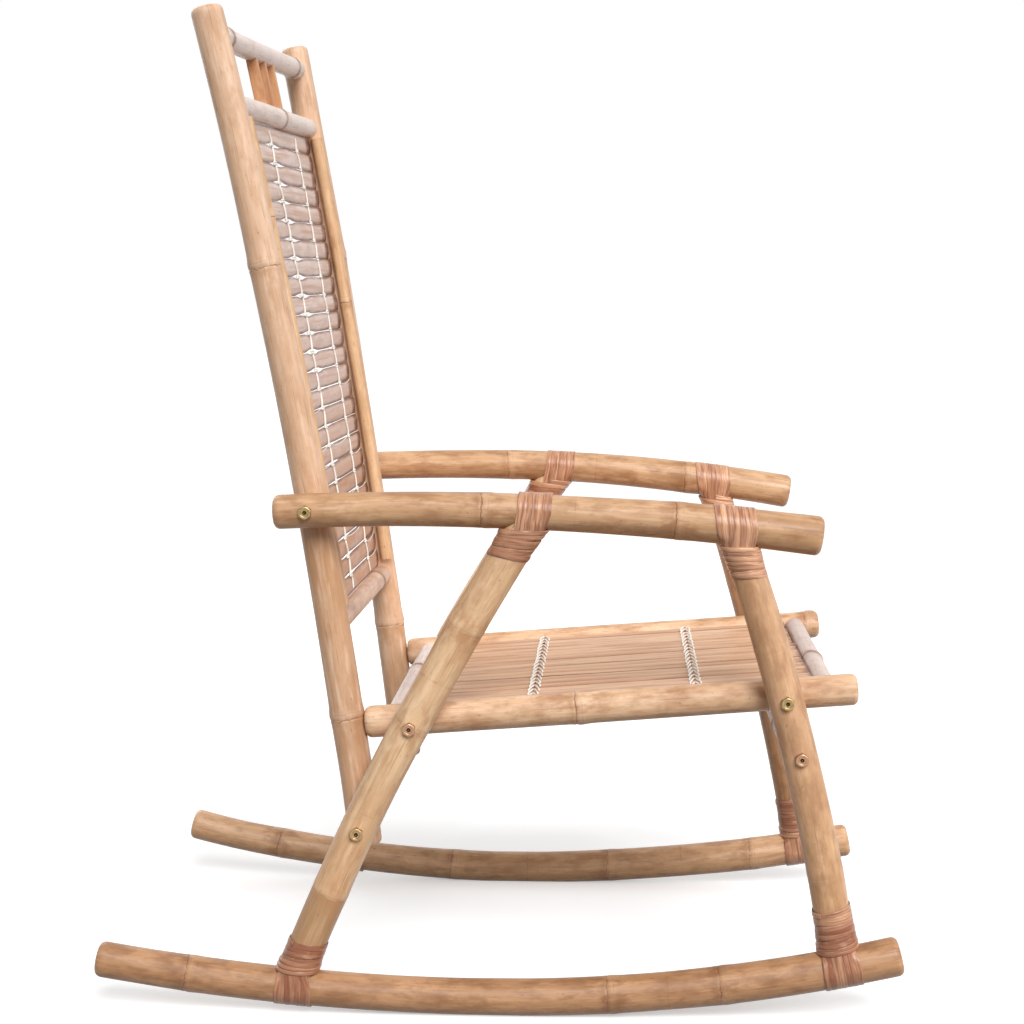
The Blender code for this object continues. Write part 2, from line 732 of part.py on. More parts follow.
def lashing(side, leg, key):
    """The saddle and the binding at one end of a leg, and the least gaps between their turns."""
    head = key == "arm"
    x, z = leg_joint(side, leg, key)
    pole, leg_pole = poles[side][key], poles[side][leg]
    beyond = toward(leg_x[side][leg], z) * (1 if head else -1)
    sideways = Vector((beyond.z, 0.0, -beyond.x))
    start, end = pole.axis(0.0).x, pole.axis(1.0).x
    pole_t = (x - start) / (end - start)
    pole_r = pole.radius(pole_t)
    leg_r = leg_pole.radius(1.0 if head else 0.0)
    z_of_x = lying_z[side][key]
    run = Vector((2 * SMALL, 0.0, z_of_x(x + SMALL) - z_of_x(x - SMALL)))
    slant = run.dot(beyond) / run.dot(sideways)
    stretch = math.sqrt(1 + slant**2)

    def at(v, u, w):
        """A point by its place beside the leg, out from the leg's plane and beyond the joint."""
        height = z + w * beyond.z
        base = Vector((leg_x[side][leg](height), side * LEG_Y, height))
        return base + sideways * v + Vector((0.0, side * u, 0.0))

    def joint_point(v, u, w):
        return Vector((x, side * LEG_Y, z)) + beyond * w + sideways * v + Vector((0.0, side * u, 0.0))

    arc_step = math.pi / SADDLE_ARC_STEPS
    strip_angle = 2 * SADDLE_SPREAD / SADDLE_STRIPS
    strip_r = (leg_r + FIT) / math.cos(strip_angle / 2)
    over_r = (pole_r + FIT) / math.cos(arc_step / 2)

    def edge(share):
        """One strip edge, from the outside of the leg, square over the pole, to its inside."""
        angle = share * SADDLE_SPREAD
        v_leg, u_leg = strip_r * math.sin(angle), strip_r * math.cos(angle)
        low = min(v_leg * slant - over_r * stretch - STRIP_THICK, -SADDLE_DROP / 3)

        def over(height):
            """Places beside the leg's axis and beyond the joint, at a height from the pole's axis."""
            along = share * SADDLE_WIDTH / 2 + slant * (SADDLE_LEAN * height - (1 - SADDLE_LEAN) * over_r)
            return (along - slant * height) / stretch, (along * slant + height) / stretch

        v_side, w_side = over(0.0)
        width = max(over_r, math.sqrt(max(strip_r**2 - v_side**2, 0.0)))
        v_half, w_half = (v_leg + v_side) / 2, (low + w_side) / 2
        drop_half = (w_half - slant * v_half) / stretch
        u_half = max(
            (u_leg + width) / 2,
            math.sqrt(max((SADDLE_EASE * strip_r) ** 2 - v_half**2, 0.0)),
            math.sqrt(max((SADDLE_EASE * over_r) ** 2 - drop_half**2, 0.0)),
        )
        leg_rows = [(v_leg, u_leg, -SADDLE_DROP), (v_leg, u_leg, low)]
        rows = [at(*row) for row in leg_rows] + [joint_point(v_half, u_half, w_half)]
        for step in range(SADDLE_ARC_STEPS + 1):
            turn = step * arc_step
            v, w = over(over_r * math.sin(turn))
            rows.append(joint_point(v, width * math.cos(turn), w))
        rows.append(joint_point(v_half, -u_half, w_half))
        rows += [at(v, -u, w) for v, u, w in reversed(leg_rows)]
        return rows

    pitch = 2 / SADDLE_STRIPS
    half = pitch / 2 - SADDLE_GAP / SADDLE_WIDTH
    edges = []
    for number in range(SADDLE_STRIPS):
        middle = (number + 0.5) * pitch - 1
        edges.append((edge(middle - half), edge(middle + half)))
    strips = [list(zip(*pair)) for pair in edges]
    last = len(strips[0]) - 2
    bridges = [(number, number + 1, last if number % 2 == 0 else 0) for number in range(SADDLE_STRIPS - 1)]
    saddle_gap = min(
        least_gap(before[1][3:-3], after[0][3:-3]) for before, after in zip(edges, edges[1:])
    )
    where = f"{SIDE_NAME[side]}_{leg}_{key}"
    part(f"{where}_saddle", ribbon_mesh(f"{where}_saddle", strips, bridges, STRIP_THICK), CANE)

    coil_r = (strip_r + STRIP_THICK + FIT) / math.cos(math.pi / BINDING_POINTS)
    top = over_r * stretch + STRIP_THICK
    coil_pitch = BINDING_WIDTH + BINDING_GAP + coil_r * abs(slant) * BINDING_FAN / BINDING_TURNS
    coil = ([], [])
    for point in range(round(BINDING_TURNS * BINDING_POINTS) + 1):
        turn = point / BINDING_POINTS
        angle = 2 * math.pi * turn
        v, u = coil_r * math.sin(angle), -coil_r * math.cos(angle)
        w = -top - turn * coil_pitch + v * slant * (1 - BINDING_FAN * turn / BINDING_TURNS)
        coil[0].append(at(v, u, w))
        coil[1].append(at(v, u, w - BINDING_WIDTH))
    coil_gap = least_gap(coil[1][: -BINDING_POINTS], coil[0][BINDING_POINTS:])
    part(f"{where}_binding", ribbon_mesh(f"{where}_binding", [list(zip(*coil))], [], STRIP_THICK), CANE)
    return saddle_gap, coil_gap


for side in SIDE_NAME:
    for leg in ("rear", "front"):
        for key in ("arm", "rocker"):
            saddle_gap, coil_gap = lashing(side, leg, key)
            print(f"{SIDE_NAME[side]} {leg} {key}: least gap {saddle_gap * 1000:.2f} mm between saddle strips,", end=" ")
            print(f"{coil_gap * 1000:.2f} mm between turns of the binding")


# Bolts: hexagon heads outside the legs and arms, nuts let into the inner poles
def along_y(side, x, y, z):
    """A frame whose Z points out of the chair at a side."""
    return Matrix.Translation((x, y, z)) @ Matrix.Rotation(-side * math.pi / 2, 4, "X")


def bolt(name, side, x, z, head_y, end_y):
    """A bolt from under its head, at head_y, to its end, as distances from the middle plane."""
    head_r = BOLT_HEAD_FLATS / math.sqrt(3)
    head_place = along_y(side, x, side * (head_y + BOLT_HEAD_HEIGHT / 2), z)
    obj = part(name, rod_mesh(name, head_r, BOLT_HEAD_HEIGHT, 6, head_place), ZINC)
    length = head_y - end_y + BOLT_HEAD_HEIGHT / 2
    shank_place = along_y(side, x, side * (end_y + length / 2), z)
    shank = rod_mesh(f"{name}_shank", BOLT_R, length, BOLT_SIDES, shank_place)
    boolean(obj, cutter(f"{name}_shank", shank), "UNION")


def hole(name, side, x, z, radius, outer_y, inner_y, sides):
    place = along_y(side, x, side * (outer_y + inner_y) / 2, z)
    return cutter(name, rod_mesh(name, radius, outer_y - inner_y, sides, place))


def pole_radius_at(pole, x, z):
    """Greatest radius of a pole about the place where its axis passes a point of the side view."""
    target = Vector((x, pole.axis(0.0).y, z))
    start, end = pole.axis(0.0), pole.axis(1.0)
    t = (target - start).dot(end - start) / (end - start).length_squared
    reach = BOLT_HEAD_FLATS / pole.length
    places, radii = zip(*pole.stations())
    return float(np.interp(np.linspace(t - reach, t + reach, 9), places, radii).max())


for side in SIDE_NAME:
    name = SIDE_NAME[side]
    joints = {
        "arm_bolt": ("arm", "post", crossing(post_x[side], lying_z[side]["arm"], POST_ARM_Z)),
        "rear_seat_bolt": ("rear", "seat_rail", crossing(leg_x[side]["rear"], seat_z, LEG_MID_Z)),
        "post_bolt": (
            "rear", "post", upright_crossing(leg_x[side]["rear"], post_x[side], POST_FOOT_Z, LEG_MID_Z)
        ),
        "front_seat_bolt": ("front", "seat_rail", crossing(leg_x[side]["front"], seat_z, LEG_MID_Z)),
    }
    for key, (outer, inner, (x, z)) in joints.items():
        outer_r = pole_radius_at(poles[side][outer], x, z)
        inner_r = pole_radius_at(poles[side][inner], x, z)
        head_y = LEG_Y + outer_r + FIT
        end_y = POST_Y - inner_r + NUT_SINK
        bolt(f"{name}_{key}", side, x, z, head_y, end_y)
        bore = hole(f"{name}_{key}_hole", side, x, z, BOLT_R + FIT, head_y + BOLT_R, end_y - BOLT_R, BOLT_SIDES)
        recess_y = end_y + NUT_HEIGHT + FIT
        recess = hole(f"{name}_{key}_recess", side, x, z, NUT_RECESS_R, recess_y, end_y - BOLT_R, BOLT_SIDES)
        boolean(objects[side][outer], bore)
        boolean(objects[side][inner], bore)
        boolean(objects[side][inner], recess)
        nut_place = along_y(side, x, side * (end_y + NUT_HEIGHT / 2), z)
        nut_name = f"{name}_{key.replace('bolt', 'nut')}"
        nut = part(nut_name, rod_mesh(nut_name, BOLT_HEAD_FLATS / math.sqrt(3), NUT_HEIGHT, 6, nut_place), ZINC)
        boolean(nut, bore)
    outer_r = pole_radius_at(poles[side]["front"], stretcher_x[side], STRETCHER_Z)
    head_y = LEG_Y + outer_r + FIT
    end_y = LEG_Y - outer_r - SCREW_GRIP
    bolt(f"{name}_stretcher_screw", side, stretcher_x[side], STRETCHER_Z, head_y, end_y)
    bore = hole(
        f"{name}_stretcher_hole",
        side,
        stretcher_x[side],
        STRETCHER_Z,
        BOLT_R + FIT,
        head_y + BOLT_R,
        end_y - FIT,
        BOLT_SIDES,
    )
    boolean(objects[side]["front"], bore)
    boolean(stretcher_obj, bore)
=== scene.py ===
"""Bamboo rocking chair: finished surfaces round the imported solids.

Poles, slats, lashings, cords and bolts are built here in fine detail along the same curves as
the solids they stand for. Metres. +X is the chair's front, +Y its left side, +Z up.
"""

import math
import random

import bmesh
import bpy
import numpy as np
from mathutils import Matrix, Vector


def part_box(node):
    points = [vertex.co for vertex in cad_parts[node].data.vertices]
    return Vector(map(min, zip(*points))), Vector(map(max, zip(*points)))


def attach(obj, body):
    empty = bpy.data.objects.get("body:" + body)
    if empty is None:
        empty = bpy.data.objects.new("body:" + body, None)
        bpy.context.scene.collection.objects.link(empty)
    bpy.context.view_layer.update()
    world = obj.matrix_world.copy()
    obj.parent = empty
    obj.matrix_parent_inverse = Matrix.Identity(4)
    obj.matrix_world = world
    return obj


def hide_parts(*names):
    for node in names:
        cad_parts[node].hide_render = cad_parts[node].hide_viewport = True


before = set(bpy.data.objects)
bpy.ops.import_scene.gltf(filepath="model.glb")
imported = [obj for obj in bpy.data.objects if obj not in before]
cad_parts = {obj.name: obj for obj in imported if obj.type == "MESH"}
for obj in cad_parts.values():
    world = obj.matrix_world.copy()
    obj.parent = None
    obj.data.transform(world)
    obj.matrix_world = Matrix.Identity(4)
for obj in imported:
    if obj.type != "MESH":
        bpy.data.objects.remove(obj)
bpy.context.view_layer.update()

# Sizes of the solids
RIGHT = -1
LEFT = 1
SIDE_NAME = {RIGHT: "right", LEFT: "left"}
FIT = 0.0003
LEG_SPACING = 0.545
ROCKER_LENGTH = 0.855
ROCKER_REAR_ARC = {RIGHT: 2.50, LEFT: 1.72}
ROCKER_FRONT_ARC = {RIGHT: 1.83, LEFT: 2.30}
ROCKER_FLAT = 0.033
ROCKER_RADII = (0.0188, 0.0206)
ROCKER_FACETS = 10
ARM_REAR_X = -0.2325
ARM_FRONT_X = {RIGHT: 0.3395, LEFT: 0.3460}
ARM_CREST_X = -0.075
ARM_CREST_Z = {RIGHT: 0.5397, LEFT: 0.5460}
ARM_ARC = {RIGHT: 3.25, LEFT: 2.60}
ARM_RADII = (0.0178, 0.0204)
LEG_HEIGHTS = (0.050, 0.300, 0.535)
LEG_X = {
    RIGHT: {"rear": (-0.2105, -0.0950, 0.0400), "front": (0.3650, 0.3152, 0.2420)},
    LEFT: {"rear": (-0.2180, -0.0960, 0.0490), "front": (0.3645, 0.3125, 0.2420)},
}
LEG_RADII = {"rear": (0.0199, 0.0200), "front": (0.0198, 0.0176)}
LEG_EAR = 0.006
POST_FOOT_Z = 0.172
POST_ARM_Z = 0.537
POST_TOP_Z = {RIGHT: 1.062, LEFT: 1.070}
POST_X = {RIGHT: (-0.142, -0.197, -0.3045), LEFT: (-0.142, -0.1905, -0.2805)}
POST_RADII = (0.0180, 0.0168)
SEAT_AXIS_Z = 0.3174
SEAT_PITCH = math.radians(4.4)
SEAT_FRONT_X = 0.382
SEAT_RAIL_R = 0.0171
SEAT_REAR_RAIL_X = -0.1105
SEAT_FRONT_RAIL_X = 0.3505
CROSS_RAIL_R = 0.0120
SOCKET_STOP = 0.003
STRETCHER_Z = 0.282
STRETCHER_R = 0.0165
TOP_RAIL_DROP = 0.028
CREST_HEIGHT = 0.0725
LOWER_RAIL_Z = 0.409
SPINDLE_PITCH = 0.046
SPINDLE_MIDDLE_Y = -0.004
SPINDLE_DEPTH = 0.013
SPINDLE_WIDTH = 0.009
SPINDLE_SEAT = 0.004
SPINDLE_COUNT = 3
BACK_SLAT_COUNT = 25
BACK_SLAT_THICK = 0.0046
BACK_SLAT_SET = 0.0015
EDGE_STRIP_R = 0.0078
EDGE_STRIP_SET = 0.0105
RING_HEIGHT = 0.0007
LACING_Y = (-0.200, -0.048, 0.112)
MAIN_LACING_Y = LACING_Y[1]
SEAT_SLAT_COUNT = 18
SEAT_SLAT_THICK = 0.0050
SEAT_SLAT_TOP = 0.0098
SEAT_EDGE_GAP = 0.0012
BATTEN_R = 0.0080
BATTEN_SINK = 0.0012
BATTEN_X = (0.0370, 0.2130)
BOLT_HEAD_FLATS = 0.0130
BOLT_HEAD_HEIGHT = 0.0053
LEG_Y = LEG_SPACING / 2
POST_Y = LEG_Y - max(LEG_RADII["rear"][1], LEG_RADII["front"][0]) - POST_RADII[0] - FIT

# Rings of the bamboo, as shares of each pole's length, and how much they swell
ROCKER_RINGS = {RIGHT: (0.114, 0.637, 0.776), LEFT: (0.136, 0.400, 0.636, 0.851)}
ARM_RINGS = {RIGHT: (0.380, 0.731), LEFT: (0.377, 0.767)}
POST_RINGS = {RIGHT: (0.155, 0.693), LEFT: (0.189, 0.706)}
LEG_RINGS = {"rear": (0.186, 0.547, 0.754), "front": (0.200, 0.720)}
SEAT_RAIL_RINGS = {RIGHT: (0.430,), LEFT: (0.965,)}
LEG_SWELL = {"rear": 0.5, "front": 0.3}
POST_SWELL = 1.2
SEAT_RAIL_SWELL = 1.3
CROSS_RAIL_SWELL = 1.6
LINED_SWELL = 0.5  # rings that swell less than this have no line

# Shades of the poles, at shares of their length
LEG_SHADES = {
    "rear": ((0.0, -1.3), (0.18, -1.0), (0.2, 0.1), (0.35, 0.2), (0.6, 0.8), (1.0, 0.9)),
    "front": ((0.0, -1.0), (0.3, -0.6), (0.5, 0.4), (1.0, 0.4)),
}
# The left rocker is paler at its rear end as painted light, and darker in its middle as the seat's painted
# shadow
ROCKER_SHADES = {RIGHT: 0.0, LEFT: ((0.0, 1.2), (0.25, 0.6), (0.5, -0.8), (0.8, 0.0), (1.0, 0.4))}
# On the right post the stretch under the arm, 0.31 to 0.44, is darker: brown stain and the arm's painted
# shadow
POST_SHADES = {
    RIGHT: ((0.0, -0.8), (0.24, -0.4), (0.31, -1.1), (0.40, -1.3), (0.44, 0.0), (0.6, 0.1), (0.8, 0.3)),
    LEFT: ((0.0, -0.6), (0.3, 0.1), (1.0, 0.4)),
}
SEAT_RAIL_SHADE = 0.2

# Fineness and finish of the poles
POLE_SIDES = 40
RAIL_SIDES = 32
BATTEN_SIDES = 20
STATION = 0.008
RING_ROOM = 0.021  # plain stations keep this far from a ring
END_ROUND = 0.0068
FLOOR_GAP = 0.0002
WAIST = 0.012  # how much a pole narrows between rings, as a share of its radius
SWAY = 0.0008  # how far a pole strays from its axis between rings
LUMP = 0.0003  # how far a pole is out of round
LUMP_R = 0.017  # poles thinner than this are rounder
SHADE_STEP = 0.3  # how far each length between rings is from the pole's shade
COPE_ROOM = 0.002
STRETCHER_SHORT = 0.010

# Back panel
SLAT_GAP = 0.0003
SLAT_STEPS = 61
STRIP_LAP = 0.0105  # how far the edge strips lie over the slats, whose ends are painted dark there as the strips' shadow
STRIP_ENDS = (0.35, BACK_SLAT_COUNT - 0.15)  # in slats from the foot of the panel
STRIP_RING = {RIGHT: 0.80, LEFT: 0.62}
SLAT_SKIN = 0.0032  # thickness of the slats
SLAT_BACK = 0.0040  # how far the slats' fronts lie behind those of the solid ones
LENS_REACH = 0.034  # half width of the openings where the lacing parts the slats
LENS_SIDE = 0.022  # how far the openings lie to the left of the cords
SIDE_LENS = 0.25  # share of the openings' height beside the outer cords
LOW_LENS = 0.3  # share of the openings' height in the lower part of the back
RUN_SHARE = 0.45  # the lower part, where cords also run along the gaps
RUN_CHANCE = 0.6
SPINDLE_STEPS = 12

# Cords
CORD_R = 0.0011
CORD_DIP = 0.0012  # how far a cord sinks into the gaps between slats
CORD_STRAY = 0.003
MAIN_KNOT = 0.007  # half width of the knots on the main cord
SIDE_KNOT = 0.004
STITCH_R = 0.0011
STITCH_HALF = 0.0058
STITCH_LAP = 1.15  # length of a stitch across the slats, as a share of their pitch
SEAT_STEPS = 40

# Lashings
STRIP_LIFT = 0.0005
STRIP_THICK = 0.0008
SADDLE_STRIPS = 7
SADDLE_SPREAD = {"rear": math.radians(44), "front": math.radians(56)}
SADDLE_DROP = 0.043
SADDLE_EASE = 1.05
SADDLE_SHIFT = {"arm": 0.0, "rocker": 0.7}  # towards the leg's side, as a share of the leg's lean
SADDLE_TURN = 0.75  # how far round the leg the strips land to cross the pole squarely
BINDING_WIDTH = 0.0060
BINDING_PITCH = 0.0048
BINDING_RISE = 0.0050  # how far the first turn is drawn up into the joint
BINDING_FAN = 0.45
BINDING_STEPS = 36  # to a turn
ROUND_TURNS = {"arm": 1.0, "rocker": 2.3}  # turns next to the joint, thicker and rounder
ROUND_PITCH = {"arm": 0.0050, "rocker": 0.0037}
LASHINGS = {  # the saddle's width and lean, the binding's turns, and the shades of the two
    ("rear", "arm"): (0.0355, 0.05, 6.6, 0.35, -0.35),
    ("front", "arm"): (0.043, 0.45, 6.7, 0.5, 0.65),
    ("rear", "rocker"): (0.040, 0.05, 7.4, -0.45, -0.75),
    ("front", "rocker"): (0.040, 0.05, 10.4, -0.45, -0.75),
}

# Bolts, with a tone for how coppery each is
BOLT_SIDES = 48
BOLT_TONES = {"arm": 0.0, "rear_seat": 0.9, "post": 0.3, "front_seat": 0.0}
SCREW_TONE = 0.8

# Light and camera
FLOOR_SIZE = 30.0
WHITE = (1.0, 1.0, 1.0, 1.0)
FLOOR_WHITE = (0.85, 0.85, 0.85, 1.0)
FLOOR_BOUNCE = (0.11, 0.088, 0.070, 1.0)  # the floor's colour in the light it throws on the chair
FLOOR_GLOW = 0.40
SKY_LIGHT = 0.36
SUN_POWER = 2.66
SUN_SPREAD = math.radians(30)
SUN_TURN = (math.radians(53), 0.0, math.radians(18))
FILLS = (  # name, power, size, place and aim
    ("fill", 22.0, 1.6, (2.4, -0.9, 1.5), (-0.2, 0.0, 0.7)),
    ("back_fill", 34.0, 2.4, (-1.9, 2.6, 1.9), (-0.1, 0.0, 0.5)),
)
CAMERA_PLACE = (0.1278, -2.5788, 0.7623)
CAMERA_PITCH = -5.569
CAMERA_YAW = 2.741
CAMERA_PIXELS = 2226.73  # focal length in pixels of the 1024-pixel frame
FRAME_PIXELS = 1024

SMALL = 0.001
chance = random.Random(7)


# Curves of the side view
def bow(heights, xs):
    (z0, z1, z2), (x0, x1, x2) = heights, xs
    first = (x1 - x0) / (z1 - z0)
    second = ((x2 - x1) / (z2 - z1) - first) / (z2 - z0)
    return lambda z: x0 + (z - z0) * (first + second * (z - z1))


def rise(arc, run):
    return arc - math.sqrt(arc**2 - run**2)


def taper(radii, share):
    return radii[0] + (radii[1] - radii[0]) * share


def rocker_radius(x):
    return taper(ROCKER_RADII, x / ROCKER_LENGTH + 0.5)


def arm_radius(side, x):
    return taper(ARM_RADII, (x - ARM_REAR_X) / (ARM_FRONT_X[side] - ARM_REAR_X))


def rocker_curve(side):
    def height(x):
        arc = ROCKER_REAR_ARC[side] if x < 0 else ROCKER_FRONT_ARC[side]
        under = rise(arc, max(abs(x), ROCKER_FLAT)) - rise(arc, ROCKER_FLAT)
        return under + rocker_radius(x) * math.cos(math.pi / ROCKER_FACETS)

    return height


def arm_curve(side):
    return lambda x: ARM_CREST_Z[side] - rise(ARM_ARC[side], x - ARM_CREST_X)


def seat_z(x):
    return SEAT_AXIS_Z + x * math.tan(SEAT_PITCH)


leg_x = {side: {leg: bow(LEG_HEIGHTS, xs) for leg, xs in LEG_X[side].items()} for side in SIDE_NAME}
post_x = {side: bow((POST_FOOT_Z, POST_ARM_Z, POST_TOP_Z[side]), POST_X[side]) for side in SIDE_NAME}
lying_z = {side: {"rocker": rocker_curve(side), "arm": arm_curve(side)} for side in SIDE_NAME}


def crossing(x_of_z, z_of_x, z):
    for _ in range(40):
        z = z_of_x(x_of_z(z))
    return x_of_z(z), z


def toward(x_of_z, z):
    return Vector((x_of_z(z + SMALL) - x_of_z(z - SMALL), 0.0, 2 * SMALL)).normalized()


def upright(x_of_z, y, low, high):
    return lambda t: Vector((x_of_z(low + (high - low) * t), y, low + (high - low) * t))


def lying(z_of_x, y, rear, front):
    return lambda t: Vector((rear + (front - rear) * t, y, z_of_x(rear + (front - rear) * t)))


def straight(start, end):
    return lambda t: start.lerp(end, t)


def post_ends(heights):
    """Points on the axes of the two posts."""
    return [Vector((post_x[side](heights[side]), side * POST_Y, heights[side])) for side in SIDE_NAME]


def seat_ends(x):
    """Points on the axes of the two seat rails."""
    return [Vector((x, side * POST_Y, seat_z(x))) for side in SIDE_NAME]


# Surfaces
def placed(name, data, location=(0.0, 0.0, 0.0), turn=(0.0, 0.0, 0.0)):
    """An object in the scene."""
    obj = bpy.data.objects.new(name, data)
    obj.location = location
    obj.rotation_euler = turn
    bpy.context.scene.collection.objects.link(obj)
    return obj


class Surface:
    """Grids of points gathered into one mesh, with the values that its material reads.

    grain: a place along and round the fibre; ring: distance from the nearest ring or edge
    line, which also draws painted shade at edges, ends and recesses; tone: a shade from -1 to 1.
    """

    def __init__(self, name):
        self.name = name
        self.points = []
        self.faces = []
        self.values = {"grain": [], "ring": [], "tone": []}
        self.count = 0

    def add(self, grid, grain, ring=1.0, tone=0.0):
        """A grid of rows of points, each row closed on itself, with filled ends."""
        rows, cols = grid.shape[:2]
        first = self.count
        self.points.append(grid.reshape(-1, 3))
        self.values["grain"].append(np.broadcast_to(grain, grid.shape).reshape(-1, 3))
        self.values["ring"].append(np.broadcast_to(ring, (rows, cols)).reshape(-1))
        self.values["tone"].append(np.broadcast_to(tone, (rows, cols)).reshape(-1))
        for r in range(rows - 1):
            for c in range(cols):
                a = first + r * cols + c
                b = first + r * cols + (c + 1) % cols
                self.faces.append((a, b, b + cols, a + cols))
        self.faces.append(tuple(range(first + cols - 1, first - 1, -1)))
        last = first + (rows - 1) * cols
        self.faces.append(tuple(range(last, last + cols)))
        self.count += rows * cols

    def make(self, look, *nodes, slot=None):
        """The finished piece, riding on the chair in place of the named solids."""
        mesh = bpy.data.meshes.new(self.name)
        mesh.from_pydata(np.concatenate(self.points).tolist(), [], self.faces)
        edit = bmesh.new()
        edit.from_mesh(mesh)
        bmesh.ops.recalc_face_normals(edit, faces=edit.faces)
        edit.to_mesh(mesh)
        edit.free()
        for key, values in self.values.items():
            kind, field = ("FLOAT_VECTOR", "vector") if key == "grain" else ("FLOAT", "value")
            layer = mesh.attributes.new(key, kind, "POINT")
            layer.data.foreach_set(field, np.concatenate(values).astype(np.float32).ravel())
        mesh.shade_smooth()
        mesh.set_sharp_from_angle(angle=math.radians(50))
        mesh.materials.append(look)
        obj = placed(self.name, mesh)
        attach(obj, "root")
        if nodes:
            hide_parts(*nodes)


def unit(vectors):
    return vectors / np.linalg.norm(vectors, axis=-1, keepdims=True)


def lengths(line):
    """Distances along a line of points from its start."""
    return np.concatenate(([0.0], np.cumsum(np.linalg.norm(np.diff(line, axis=0), axis=1))))


def round_points(count):
    """Angles round a circle, and points of the unit circle there."""
    angles = np.arange(count) * 2 * math.pi / count
    return angles, np.stack([np.cos(angles), np.sin(angles)], axis=1)


def swept(centres, across, out, section):
    """A grid that carries a section of (across, out) points along centres."""
    across, out = (np.broadcast_to(axis, centres.shape)[:, None] for axis in (across, out))
    return centres[:, None] + across * section[..., 0:1] + out * section[..., 1:2]


def grain_grid(across, out, along):
    """Grain places: across and out of the fibre at each point of a row, along it at each row."""
    return np.stack(np.broadcast_arrays(across, out, along[:, None]), axis=-1)


# Height of a ring's relief at distances along the pole, in metres
RING_PLACES = np.array((-12.0, -7.0, -4.0, -1.7, -0.6, 0.0, 0.6, 1.7, 4.0, 8.0, 13.0, 20.0)) / 1000
RING_RELIEF = np.array((0.0, 0.05, 0.18, 0.42, 0.34, 0.05, 0.25, 0.50, 0.85, 0.70, 0.25, 0.0)) / 1000
# An end of a pole, as shares of the end's radius and depths below its face, with shades that darken into its
# shallow hollow as painted shade
END_RINGS = ((0.97, 0.0), (0.70, 0.0), (0.66, 0.0010), (0.62, 0.0022), (0.20, 0.0026))
END_SHADES = np.array((-0.2, -0.6, -1.5, -1.5, -1.0))
END_GRAIN = 0.004 * np.arange(1, len(END_RINGS) + 1)


